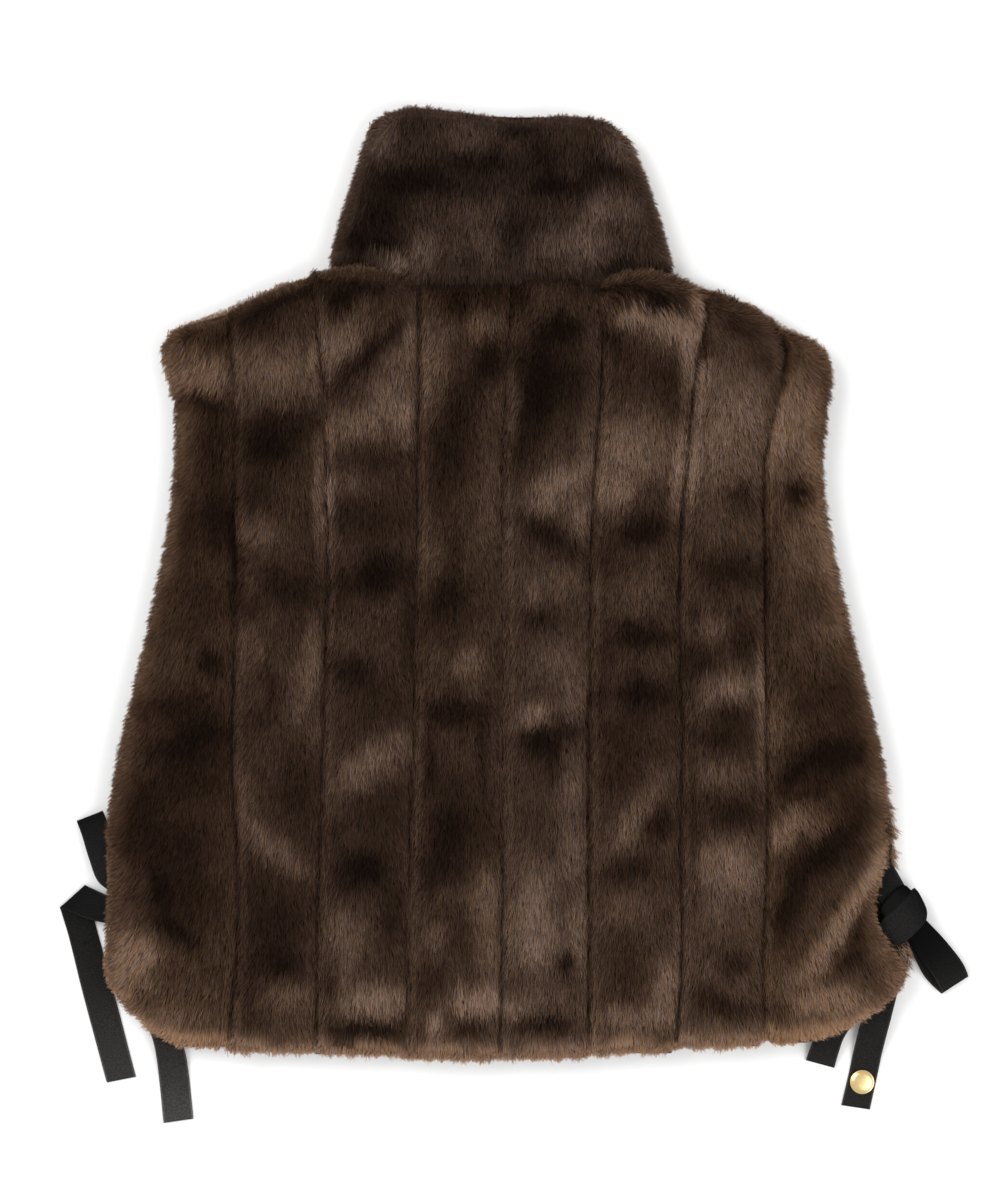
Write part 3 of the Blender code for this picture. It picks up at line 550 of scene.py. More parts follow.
# tips: places on the kept triangles, chosen by area and closer at open edges, with the normal
def scatterTips(node, rng, keep, opened):
    corners, normals, areas = nodeTriangles(node)
    middles = corners.mean(axis=1)
    gaps = edgeGaps(node, middles[:, 0], middles[:, 1])
    chosen = keep(normals, gaps)
    edge = nearest(gaps, opened)[chosen]
    corners, normals, areas = corners[chosen], normals[chosen], areas[chosen]
    smoothed = cornerNormals(corners, normals, areas)
    count = int(areas.sum() * furSizes["density"])
    total = np.cumsum(areas * (1 + openEdge["dense"] * edgeFade(edge, openEdge["band"])))
    pick = np.searchsorted(total, rng.random(count) * total[-1])
    a = np.sqrt(rng.random(count))
    b = rng.random(count)
    weights = np.stack([1 - a, a * (1 - b), a * b], axis=1)
    tip = np.einsum("nk,nkc->nc", weights, corners[pick])
    return tip, unit(np.einsum("nk,nkc->nc", weights, smoothed[pick]))


# seams: near = 1 - gap / reach; hair rises by near, leans across by near^4 and stands off the groove's
# slope; gives the new normal, the gap to the seams, rise, the dark line of painted groove shade and lean
def holdSeams(seams, rng, tip, out, gaps):
    count = len(tip)
    out = out.copy()
    seam = np.full(count, 1.0)
    raised = np.zeros(count)
    dark = np.zeros(count)
    lean = np.zeros((count, 2))
    for which, hold in seams.items():
        near = np.clip(1 - gaps[which] / (hold["reach"] * mm), 0, 1)
        raised = np.maximum(raised, near * hold["rise"] * mm)
        plain = 1.0
        if "number" in hold:
            height = (tip[:, 1] - shiftY) / mm
            plain = np.interp(height, seamHeights, seamShadeAndHighlight[hold["number"]])
            noise = softNoise(height, 0 * height, seamNoise["cell"], seamNoise["seed"] + hold["number"])
            plain = plain + seamNoise["amount"] * noise
        # painted groove shade: a dark line along the seam, a pale painted highlight where its strength is
        # under 0
        dark += plain * hold["dark"] * fade(gaps[which], hold["line"])
        axis = 0 if which in ("left", "right") else 1
        toward = -1 if which in ("left", "hem") else 1
        under = 1.0
        if "span" in hold:
            within = hold["span"] * mm - np.abs(tip[:, 0] - shiftX)
            under = np.clip(within / (hold["fade"] * mm), -0.5, 1)
        lean[:, axis] += under * toward * hold["lean"] * mm * near ** 4 * rng.random(count)
        out[:, axis] *= 1 - hold["flat"] * near
        if axis == 0:
            seam = np.minimum(seam, gaps[which])
    return unit(out), seam, raised, dark, lean


# nap: down the garment, outwards on the outer strips and over every open edge, laid on the skin
def layNap(look, rng, seed, tip, out, gaps, byEdge):
    x, y = tip[:, 0], tip[:, 1]
    acrossX = (x - shiftX) / (napLook["half"] * mm)
    outer = np.clip(np.abs(acrossX) - napLook["from"], 0, 1)
    nap = np.zeros((len(tip), 3))
    nap[:, 0] = napLook["outwards"] * np.sign(acrossX) * outer / napLook["over"]
    follow = np.where(byEdge, napLook["edge"], napLook["seam"])
    nap[:, 0] += follow * out[:, 0] + look["sweep"] * fade(gaps["top"], napLook["sweep"])
    nap[:, 0] += wave(x, y, napLook["wide"], seed + 7) + wave(x, y, napLook["fine"], seed + 8)
    nap[:, 0] += spread["nap"] * rng.normal(0, 1, len(tip))
    follow = np.where(out[:, 1] > 0, napLook["top"] * look["topturn"], napLook["hem"])
    nap[:, 1] = -1 + follow * out[:, 1]
    return unit(nap - np.sum(nap * out, axis=1)[:, None] * out)


# tips gather in points, most of all at open edges: each is drawn to its cell's own spot
def gatherTips(end, rng, ragged):
    cell = gather["cell"] * mm
    column = np.floor(end[:, 0] / cell).astype(int)
    line = np.floor(end[:, 1] / cell).astype(int)
    spots = rng.random((noiseCells, noiseCells, 2))[column % noiseCells, line % noiseCells]
    spots = (spots + np.stack([column, line], axis=1)) * cell
    pull = gather["within"] + (gather["edge"] - gather["within"]) * np.clip(ragged, 0, 1)
    pull = pull * np.sqrt(rng.random(len(end)))
    end[:, :2] += pull[:, None] * (spots - end[:, :2])


# map of the strands: u from the tone (base + slope * shade, the patches' painted nap shade and sheen, +
# the painted light of the rims - the dark line of painted groove shade at seams) and the family, drawn by
# the shares of gold and grey hair; v from root to tip
def strandMap(look, rng, seed, tip, gaps, edge, shade, dark):
    count = len(tip)
    shade = np.clip(shade, -toneLook["limit"], toneLook["limit"])
    slope = np.where(shade < 0, toneLook["dark"], toneLook["light"])
    tone = look["base"] + slope * shade + spread["tone"] * rng.normal(0, 1, count)
    glow = np.zeros(count)
    for which, (amount, reach) in look["rims"].items():
        glow = np.maximum(glow, amount * edgeFade(gaps[which], reach))
    uneven = toneLook["even"] + wave(tip[:, 0], tip[:, 1], toneLook["uneven"], seed + 11)
    uneven = np.clip(uneven, *toneLook["unevens"])
    uneven += (1 - uneven) * edgeFade(edge, toneLook["edge"])
    glow = glow * uneven
    amount, reach = toneLook["hem"]
    # painted rim light, less the painted groove shade of the seams, and the light near the hem
    tone += glow - dark + amount * fade(gaps["hem"], reach) * look["hemlift"]
    # painted highlight on the lit side just right of the seam on the left
    if "left" in look["seams"]:
        amount, place, reach = toneLook["beside"]
        tone += amount * fade(gaps["left"] - place * mm, reach)
    tone = np.clip(tone, 0.0, 1.0)
    warm = look["warm"] + topGold["amount"] * fade(gaps["top"], topGold["reach"]) * look["puffs"]
    cool = np.clip(-warm, 0, 1)
    warm = np.clip(warm, 0, 1)
    shares = []
    for hair, more, less in ((greyHair, cool, warm), (goldHair, warm, cool)):
        share = hair["share"] + hair["shade"] * shade + hair["glow"] * glow
        shares.append(np.clip(share + more - topGold["takes"] * less, *hair["limits"]))
    draw = rng.random(count)
    family = np.where(draw < shares[1], 0, np.where(draw > 1 - shares[0], 2, 1))
    uv = np.zeros((count, 3, 2))
    uv[:, :, 0] = toneAt(family, tone)[:, None] + strandV["across"] * np.array([-1, 1, 0])
    uv[:, 2, 1] = strandV["tip"]
    root = strandV["root"] + strandV["glow"] * np.clip(2 * glow, 0, 1)
    uv[:, :2, 1] = (root + strandV["shade"] * np.clip(shade, 0, 1))[:, None]
    return uv


# each strand is one thin triangle: tip on the node's skin (moved by sink and fringe), root
# at tip - length * heading, heading = nap along the skin turned up by the lift
def growPile(name, node, seed, keep, look):
    rng = np.random.default_rng(seed)
    tip, out = scatterTips(node, rng, keep, look["open"])
    count = len(tip)
    x, y = tip[:, 0], tip[:, 1]
    gaps = edgeGaps(node, x, y)
    edge = nearest(gaps, look["open"])
    rim = edgeFade(edge, openEdge["rim"])
    ragged = np.zeros(count)
    for which, amount in look["open"].items():
        ragged = np.maximum(ragged, amount * edgeFade(gaps[which], openEdge["rim"]))
    wall = np.abs(out[:, 0]) > seamHair["wall"]
    out, seam, raised, dark, lean = holdSeams(look["seams"], rng, tip, out, gaps)

    # each strand reads its shade, the painted nap shade and sheen, a little beside itself, more so along
    # the nap
    besideX = x + shadeLook["x"] * rng.normal(0, 1, count)
    besideY = y + shadeLook["y"] * rng.normal(0, 1, count)
    shade = patchToneSheenShade(look["patches"], besideX, besideY, seed)
    fine = wave(x, y * shadeLook["stretch"], shadeLook["hair"], seed + 6)
    shade += wave(x, y, shadeLook["wide"], seed + 5) + fine

    flat = layNap(look, rng, seed, tip, out, gaps, seam >= edge)
    lift = furSizes["lift"] - furSizes["shadeLift"] * np.clip(shade, -1, 1)
    lift = lift + spread["lift"] * rng.normal(0, 1, count)
    lift = np.clip(lift + openEdge["lift"] * rim, *furSizes["lifts"])
    heading = flat * np.cos(lift)[:, None] + out * np.sin(lift)[:, None]
    length = furSizes["length"] * (1 + spread["length"] * rng.normal(0, 1, count))
    whole = np.clip(edge / (openEdge["whole"] * mm), 0, 1)
    length = length * (openEdge["short"] + (1 - openEdge["short"]) * whole)
    sink = rng.random(count) ** 1.5 * furSizes["sink"] * mm
    sink = sink + np.clip(-shade, 0, 1) * furSizes["shadeSink"] * mm
    sink = np.where(wall & (seam < edge), 0, sink)

    # open edges: tufts reach the outline and past it, hair between them stops short
    tuft = np.clip(0.5 + wave(x, y, (openEdge["tuft"], look["tuft"]), seed + 9), 0, 1)
    proud = tuft * rng.random(count) ** 3 - openEdge["stop"] * (1 - tuft) * rng.random(count)
    proud = proud * ragged * furSizes["fringe"]
    end = tip - out * sink[:, None] + heading * proud[:, None]
    # a piece without puffs rises only at the middle of the neck
    middle = np.clip(2 - np.abs(x - shiftX) / (seamHair["neck"] * mm), 0, 1)
    neck = look["puffs"] + (1 - look["puffs"]) * middle
    end[:, 2] += raised * (seamHair["least"] + (1 - seamHair["least"]) * rng.random(count)) * neck
    # hair on the walls of a seam crosses it, the rest leans over a little
    least, more = seamHair["cross"]
    cross = (least + more * rng.random(count)) * mm * np.sign(gaps["left"] - gaps["right"])
    end[:, 0] += np.where(wall & (seam < seamHair["near"] * mm), cross, lean[:, 0])
    end[:, 1] += lean[:, 1]
    back = np.interp((y - shiftY) / mm, backHeights, look["back"]) * mm
    end[:, 0] -= back * edgeFade(gaps["right"], openEdge["band"])
    root = end - heading * length[:, None]
    gatherTips(end, rng, ragged)
    root[:, 2] = np.maximum(root[:, 2], leastHeight["root"] * mm)
    end[:, 2] = np.maximum(end[:, 2], leastHeight["tip"] * mm)

    side = unit(np.cross(heading, out))
    roll = rng.normal(0, spread["roll"], count)
    side = side * np.cos(roll)[:, None] + np.cross(heading, side) * np.sin(roll)[:, None]
    half = furSizes["width"] / 2 * (1 + spread["width"] * rng.normal(0, 1, count))
    points = np.stack([root - side * half[:, None], root + side * half[:, None], end], axis=1)
    uv = strandMap(look, rng, seed, tip, gaps, edge, shade, dark)
    faces = np.arange(count * 3).reshape(-1, 3)
    print(name, count, "strands")
    return meshPiece(name, points.reshape(-1, 3), faces, pile, uv, smooth=False)


# points in rows and columns inside a node's outline, moved in by the insets; u and v from 0 to 1
def planGrid(node, sizes, insets):
    ys, left, right = nodeSpan(node, 1, 0)
    v = np.linspace(0, 1, sizes["rows"])
    y = ys[0] + insets["hem"] * mm + v * (ys[-1] - ys[0] - (insets["hem"] + insets["top"]) * mm)
    u = np.linspace(0, 1, sizes["cols"])
    low = np.interp(y, ys, left) + insets["left"] * mm
    high = np.maximum(np.interp(y, ys, right) - insets["right"] * mm, low + sizes["least"] * mm)
    x = low[:, None] + (high - low)[:, None] * u
    return u, v, x, np.repeat(y[:, None], len(u), axis=1)


clothSizes = {"rows": 70, "cols": 15, "least": 4.0, "low": 12.3, "edge": 2.0, "crest": 5.4, "groove": 60.0,
              "groovelift": 3.7, "step": 0.4, "ramp": 22.0}


# cloth under the pile: between the node's outline moved in, low at the seams, full between
def clothShell(name, node, sides, insets):
    u, v, x, y = planGrid(node, clothSizes, insets)
    xs, _, crown = nodeSpan(node, 0, 1)
    limit = np.interp(x, xs, crown) - insets["top"] * mm
    y = np.minimum(y, limit + clothSizes["step"] * mm * (v[:, None] - 1))
    gaps = edgeGaps(node, x, y)
    opened = np.full(x.shape, 1.0)
    for side in sides:
        opened = np.minimum(opened, np.clip(gaps[side] / (clothSizes["groove"] * mm), 0, 1))
    z = clothSizes["low"] + clothSizes["groovelift"] * (1 - opened) ** 2
    dome = 1 - np.abs(2 * u - 1) ** 4
    hemRise = gaps["hem"] / (clothSizes["ramp"] * mm)
    topRise = 0.5 + gaps["top"] / (insets["ramp"] * mm)
    rise = np.clip(np.minimum(hemRise, topRise), 0, 1)
    top = z + clothSizes["edge"] + (clothSizes["crest"] - clothSizes["edge"]) * dome * rise
    lower = np.stack([x, y, z * mm], axis=-1)
    upper = np.stack([x, y, top * mm], axis=-1)
    return shellPiece(name, upper, lower, undercoat)


# the plan area of a node's outline, and its box as width and length
def cutOf(node):
    ys, left, right = nodeSpan(node, 1, 0)
    low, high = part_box(node)
    area = float(np.sum((right - left)[:-1] + (right - left)[1:]) / 2 * (ys[1] - ys[0]))
    return (high.x - low.x, high.y - low.y), area


# what the looks of the pieces share: no patches, seams, sweep or drawing back; how far hair turns
# over the top, size of the tufts, and whether seams are puffed and the hem is lighter
plainLook = {"patches": [], "seams": {}, "sweep": 0.0, "back": [0, 0, 0, 0], "topturn": 1.0, "tuft": 3.2,
             "puffs": 0.0, "hemlift": 0.0}
# where hair grows: sideways share of a seam wall's normal, how far up from the hem a wall has hair,
# and how far down the skin may turn, also on the front halves
keepSizes = {"wall": 0.9, "hem": 18.0, "under": -0.15, "frontUnder": -0.8}
# strips from left to right: tone of the fur, how golden or grey it is, how far hair sweeps
# sideways at the top
stripBase = [0.53, 0.52, 0.52, 0.545, 0.565, 0.56, 0.602, 0.572]
stripWarm = [0.18, 0.0, -0.05, 0.0, -0.12, 0.0, -0.05, 0.22]
stripSweep = [0.0, 0.0, 0.0, 0.0, 0.0, 1.1, 1.5, 0.7]
for number in range(1, 9):
    node = "back_strip_%d" % number
    insets = {"left": 0.1, "right": 0.1, "hem": 3.5, "top": 3.0, "ramp": 14.0}
    # rims: painted rim light along the hem, the top and the outer sides, amount and reach in mm
    look = dict(plainLook, patches=toneSheenShadePatches[node], base=stripBase[number - 1],
                warm=stripWarm[number - 1], sweep=stripSweep[number - 1], puffs=1.0, hemlift=1.0,
                shoulder=-5.0, open={"hem": 1.0, "top": 0.7},
                rims={"hem": (0.52, 9.5), "top": (0.16, 2.5)})
    look["seams"] = {"left": dict(stripSeam, number=number - 1), "right": dict(stripSeam, number=number)}
    if number in (3, 6):
        look["shoulder"] = 12.0
        look["seams"]["top"] = neckPuff
        insets["top"] = 2.0
        insets["ramp"] = 9.0
    if number in (4, 5):
        look["topturn"] = 0.25
        look["open"] = {"hem": 1.0}
        look["seams"]["top"] = neckSeam
        look["rims"]["top"] = (0.0, 1.0)
    if number == 1:
        look["open"]["left"] = 0.7
        look["rims"]["left"] = (0.17, 11.0)
        look["seams"].pop("left")
        insets["left"] = 4.5
    if number == 8:
        look["open"]["right"] = 0.8
        look["back"] = [0.0, 3.4, 3.0, 0.0]
        look["rims"]["right"] = (0.16, 12.0)
        look["seams"].pop("right")
        insets["right"] = 4.5

    # all but the underside and the walls of the seams, which have hair near the hem and where the
    # neighbour's top is lower
    def keep(normal, gaps, look=look):
        seam = np.zeros(len(normal), bool)
        if "left" in look["seams"]:
            seam |= normal[:, 0] < -keepSizes["wall"]
        if "right" in look["seams"]:
            seam |= normal[:, 0] > keepSizes["wall"]
        bare = seam & (gaps["hem"] > keepSizes["hem"] * mm) & (gaps["top"] > look["shoulder"] * mm)
        return (normal[:, 2] > keepSizes["under"]) & ~bare

    opened = [side for side in look["open"] if side != "top"]
    cloth = clothShell(node + "_cloth", node, opened, insets)
    fur = growPile(node + "_pile", node, 100 + 10 * number, keep, look)
    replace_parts(cloth, node)
    flat, area = cutOf(node)
print("back strips furred")

# collar: one piece, its sides folds, its pile hanging over the neck seam
collarInsets = {"left": 6.0, "right": 6.0, "hem": 1.0, "top": 2.4, "ramp": 9.0}
# rims: painted rim light along the collar's sides and top, amount and reach in mm
collarLook = dict(plainLook, patches=toneSheenShadePatches["collar_back"], base=0.49, warm=-0.28, tuft=2.2,
                  open={"left": 0.4, "right": 0.5, "top": 1.0}, seams={"hem": collarFoot},
                  rims={"left": (0.14, 3.0), "right": (0.20, 3.0), "top": (0.12, 2.0)})


# all but the underside and the wall of the neck seam
def keepCollar(normal, gaps):
    return (normal[:, 2] > keepSizes["under"]) & (normal[:, 1] > -keepSizes["wall"])


collarCloth = clothShell("collar_back_cloth", "collar_back", [], collarInsets)
collarFur = growPile("collar_back_pile", "collar_back", 300, keepCollar, collarLook)
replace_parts(collarCloth, "collar_back")
flat, area = cutOf("collar_back")
print("collar furred")

# front halves: plain, lying on the table; pile only along their open edges, where it shows
frontSizes = {"rows": 70, "cols": 25, "least": 4.0, "low": 0.1, "top": 8.2, "drop": 4.0, "rise": 2.4,
              "round": 9.0, "groove": 60.0, "wall": 2.0, "pile": 18.0}


# cloth between a flat underside, rounded up at open edges, and an upper side that falls to them
def frontShell(name, node, opened, insets):
    x, y = planGrid(node, frontSizes, insets)[2:]
    edge = nearest(edgeGaps(node, x, y), opened) / mm
    rim = np.clip(edge / frontSizes["round"], 0, 1)
    low = frontSizes["low"] + frontSizes["rise"] * (1 - np.sqrt(1 - (1 - rim) ** 2))
    top = frontSizes["top"] - frontSizes["drop"] * (1 - np.clip(edge / frontSizes["groove"], 0, 1)) ** 2
    top = np.maximum(top, low + frontSizes["wall"])
    upper = np.stack([x, y, top * mm], axis=-1)
    lower = np.stack([x, y, low * mm], axis=-1)
    return shellPiece(name, upper, lower, undercoat)


# patches as in the table above: painted nap shade and sheen, partly the fur's own tone
frontPieces = [
    {"node": "front_left", "open": ["left", "hem", "top"], "seed": 400, "proud": 1.0, "patches": []},
    {"node": "front_right", "open": ["right", "hem", "top"], "seed": 410, "proud": 1.8,
     "patches": [(1214, 1308, 36, 46, 0, 0.9)]},
    {"node": "collar_front_left", "open": ["left", "top"], "seed": 420, "proud": 0.7, "patches": []},
    {"node": "collar_front_right", "open": ["right", "top"], "seed": 430, "proud": 0.7, "patches": []},
]
for part in frontPieces:
    node = part["node"]
    insets = {side: (4.0 if side in part["open"] else 0.1) for side in ("left", "right", "hem", "top")}
    # rims: painted rim light along the open edges, amount and reach in mm
    look = dict(plainLook, patches=part["patches"], base=0.54, warm=0.2,
                open={side: part["proud"] for side in part["open"]},
                rims={side: (0.45, 10.0) for side in part["open"]})

    # a band along the open edges, and what rounds under them
    def keep(normal, gaps, opened=part["open"]):
        band = nearest(gaps, opened) < frontSizes["pile"] * mm
        return band & (normal[:, 2] > keepSizes["frontUnder"])

    cloth = frontShell(node + "_cloth", node, part["open"], insets)
    fur = growPile(node + "_pile", node, part["seed"], keep, look)
    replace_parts(cloth, node)
    flat, area = cutOf(node)
print("front halves furred")

# ribbons, in mm: width, thickness, thicker edge and its reach, step along, points across, one rib, height
# and length of the ripples; colours of the cloth and of the painted highlight along its edges
ribbonLook = {"wide": 20.0, "thick": 0.9, "selvedge": (0.12, 0.8), "step": 1.5, "across": 11, "rib": 1.1,
              "ripple": (0.22, 16.0), "cloth": (0.0092, 0.0088, 0.0086), "edge": (0.024, 0.022, 0.021),
              "shades": [(0.3, (0.65, 0.65, 0.65)), (0.7, (1.5, 1.47, 1.45))], "grain": 900.0,
              "shader": {"Roughness": 0.62, "Specular IOR Level": 0.04}, "bump": (0.15, 0.35)}
# both edges at each section from the knot outwards, in mm: ax, ay, az, bx, by, bz, and the painted light
# and shade of the cloth there
ribbonRows = {
    "tie_left_loop": [
        (-268.5, 116, 9.6, -249.5, 113, 10.0, 1), (-282, 126, 8.0, -261.5, 131, 9.6, 1),
        (-288.4, 141.5, 5.8, -269, 148, 8.9, 1), (-294.5, 160, 1.4, -276, 167.5, 6.6, 0.8),
        (-297.5, 167.5, 3.2, -279, 175, 8.3, 0.2), (-294.5, 160, 5.0, -276, 167.5, 10.0, 0.6),
        (-288.4, 141.5, 8.6, -269, 148, 11.4, 1), (-282, 126, 10.4, -261.5, 131, 11.5, 1.2),
        (-268.5, 116, 11.2, -249.5, 113, 11.6, 1.1),
    ],
    "tie_left_tail_folded": [
        (-267, 113.8, 10.4, -270.2, 95.5, 10.0, 0.75), (-277.5, 116.8, 8.4, -288.5, 99, 6.6, 0.65),
        (-285.5, 120, 5.2, -300.5, 103.2, 4.4, 0.5), (-290.2, 121.9, 3.3, -308.2, 106.1, 3.3, 0.4),
        (-291.7, 122.5, 2.55, -309.8, 106.8, 2.55, 0.35), (-291.3, 120.9, 1.8, -309.3, 105.1, 1.8, 0.6),
        (-289, 109, 1.1, -307.3, 98.5, 1.1, 0.75), (-286, 98, 0.6, -305.5, 92.5, 0.6, 0.9),
        (-274, 54, 0.6, -294.5, 49, 0.6, 1.4), (-256.5, -12.5, 0.6, -277, -16.5, 0.6, 3.1),
    ],
    "tie_left_tail_short": [
        (-269, 97.7, 10.4, -250.3, 94.4, 10.6, 1), (-263, 60, 10.5, -244, 66, 10.6, 1),
        (-253, 35.5, 10.2, -234.5, 43, 10.5, 1), (-244, 15, 8.3, -225, 20, 8.5, 1.9),
        (-241.5, 0, 3.4, -221, 3, 3.4, 2.3), (-240, -15, 0.6, -219, -12.5, 0.6, 3),
        (-237, -45, 0.6, -216, -42, 0.6, 4.9),
    ],
    "tie_right_anchor": [
        (254, 133.5, 10.7, 271, 144, 10.7, 0.9), (259.5, 125.5, 10.7, 276.5, 136, 10.7, 0.95),
        (265.2, 114.5, 10.6, 282, 126.5, 10.6, 0.95), (271.4, 104.4, 10.6, 285.8, 118.8, 10.6, 0.5),
    ],
    "tie_right_loop": [
        (285.7, 86.7, 9.0, 298.4, 99.4, 9.0, 0.1), (292.8, 69, 6.2, 311, 82.5, 6.0, 0.4),
        (302, 54.5, 2.2, 322.5, 65.5, 2.2, 0.8), (311, 46.5, 3.6, 329.3, 58.5, 3.6, 1.3),
        (306, 56.5, 5.6, 326.5, 66, 5.6, 0.75), (296, 70.5, 8.8, 313, 84, 8.8, 0.2),
        (285.7, 86.7, 11.4, 298.4, 99.4, 11.4, 0.05),
    ],
    "tie_right_tail_short": [
        (263.2, 92.8, 10.7, 276.2, 79.4, 10.6, 1), (256, 79, 10.9, 273, 71, 10.6, 1),
        (249, 59, 10.9, 266, 49, 10.5, 1), (235.5, 42.5, 10.8, 251.5, 30.5, 9.8, 1),
        (222.5, 22, 9.2, 241, 15, 8.4, 1.2), (218.5, 9.5, 5.0, 238, 4.5, 4.4, 1.4),
        (215.5, -0.5, 0.8, 235.5, -6, 0.8, 1.7),
    ],
    "tie_right_tail_studded": [
        (263.4, 92.8, 12.4, 276.6, 79.4, 12.3, 1), (259.5, 76, 12.2, 278, 70.5, 12.1, 1),
        (259.5, 55.5, 12.1, 279, 52, 12.0, 1), (255.5, 37, 11.8, 275, 33, 11.0, 1.2),
        (252, 21, 6.4, 271.5, 17, 6.4, 1.4), (248.5, 4, 1.6, 268, 0, 1.6, 1.5),
        (247, -4, 0.6, 266.5, -8, 0.6, 1.5), (240.5, -32.5, 0.6, 260.5, -35.5, 0.6, 1.6),
    ],
}


# ribbed black cloth: ribs across the ribbon (v), a pale painted highlight along both edges (u), times
# grain and times the painted light and shade along the piece; a wave of scale 0.314 has one rib to one
# unit of v
def ribbonMaterial():
    material, tree, links, shader = newMaterial("ribbon", ribbonLook["shader"])
    place, u = ownMap(tree, links)[:2]
    cloth, edge = ribbonLook["cloth"], ribbonLook["edge"]
    across = colourRamp(tree, [(0.0, edge), (0.035, edge), (0.07, cloth), (0.93, cloth), (0.965, edge),
                               (1.0, edge)])
    links.new(u, across.inputs["Fac"])
    shades = colourRamp(tree, ribbonLook["shades"])
    links.new(objectGrain(tree, links, ribbonLook["grain"]), shades.inputs["Fac"])
    colour = multiplied(tree, links, across.outputs["Color"], shades.outputs["Color"])
    paintedShading = tree.new("ShaderNodeAttribute")
    paintedShading.attribute_name = "shade"
    colour = multiplied(tree, links, colour, paintedShading.outputs["Color"])
    links.new(colour, shader.inputs["Base Color"])
    ribs = tree.new("ShaderNodeTexWave")
    ribs.bands_direction = "Y"
    ribs.inputs["Scale"].default_value = 0.314 / (ribbonLook["rib"] / ribbonLook["wide"])
    ribs.inputs["Distortion"].default_value = 0.0
    links.new(place, ribs.inputs["Vector"])
    pressBump(tree, links, shader, ribs.outputs["Fac"], *ribbonLook["bump"])
    return material


ribbonCloth = ribbonMaterial()


# mm from the centre seam's foot to metres in the frame
def toFrame(points):
    return points * mm + np.array([shiftX, shiftY, 0.0])


# ribbon: straight across between two edges, each edge a smooth curve through its rows,
# thickened both ways along the surface's own normal
def ribbonPiece(name, rows, seed):
    table = np.array(rows, float)
    middle = (table[:, :3] + table[:, 3:6]) / 2
    along = np.concatenate([[0], np.cumsum(np.linalg.norm(np.diff(middle, axis=0), axis=1))])
    at = np.linspace(0, along[-1], int(along[-1] / ribbonLook["step"]) + 1)
    fine = np.stack([throughRows(along, table[:, c], at) for c in range(6)], axis=1)
    t = np.linspace(0, 1, ribbonLook["across"])
    centre = fine[:, None, :3] * (1 - t)[:, None] + fine[:, None, 3:] * t[:, None]
    normal = np.cross(np.gradient(centre, axis=1), np.gradient(centre, axis=0))
    normal = normal / np.maximum(np.linalg.norm(normal, axis=-1), 1e-9)[..., None]
    edge = ribbonLook["wide"] / 2 * (1 - np.abs(2 * t - 1))
    thicker, reach = ribbonLook["selvedge"]
    half = ribbonLook["thick"] / 2 + thicker * np.exp(-((edge / reach) ** 2))
    height, cell = ribbonLook["ripple"]
    lengthwise, crosswise = np.broadcast_arrays(at[:, None], t[None] * ribbonLook["wide"])
    ripple = height * softNoise(lengthwise, crosswise, cell, seed)
    upper = centre + normal * (half + ripple)[..., None]
    lower = centre - normal * (half - ripple)[..., None]
    for grid in (upper, lower):
        grid[..., 2] = np.maximum(grid[..., 2], 0.05)
    uv = np.stack(np.broadcast_arrays(t[None, :], at[:, None] / ribbonLook["wide"]), axis=-1)
    # painted light and shade along the ribbon, from the rows' last column
    shade = np.repeat(np.interp(at, along, table[:, 6])[:, None], len(t), axis=1)
    piece = shellPiece(name, toFrame(upper), toFrame(lower), ribbonCloth, uv, shade)
    return piece


for order, (node, rows) in enumerate(ribbonRows.items()):
    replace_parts(ribbonPiece(node + "_ribbon", rows, 500 + order), node)
print("ribbons laid")

# knots: bands in mm, each the place of its middle, half length, half width, half height, its turn, how far
# its corners are cut and what share of that its top one, how far its upper end slants and the painted
# light and shade of its two ends; creases run across it as (start, slope, depth)
knots = {
    "tie_left_knot": [
        {"x": -258.0, "y": 105.0, "z": 10.6, "long": 8.0, "wide": 9.5, "high": 1.45, "turn": 80,
         "cut": 0.06, "full": 1.0, "skew": 0.0, "shade": (1.0, 1.0), "creases": [(-0.3, 0.5, 0.2)]},
    ],
    "tie_right_knot": [
        {"x": 285.1, "y": 100.5, "z": 11.0, "long": 20.3, "wide": 11.8, "high": 3.5, "turn": 45,
         "cut": 0.15, "full": 0.5, "skew": 3.6, "shade": (1.2, 0.35),
         "creases": [(-0.35, 0.5, 0.35), (0.62, -0.25, 0.45), (0.15, 0.2, 0.2)]},
        {"x": 277.6, "y": 112.2, "z": 11.6, "long": 13.0, "wide": 6.0, "high": 2.3, "turn": 46,
         "cut": 0.2, "full": 1.0, "skew": 0.0, "shade": (0.6, 0.05), "creases": [(0.2, 0.3, 0.4)]},
    ],
}
# rows and columns of a band, how far its sides fall, depth and width of a crease, least height
bandSizes = {"rows": 41, "cols": 29, "fall": 0.75, "press": 0.25, "crease": 0.09, "least": 0.04}


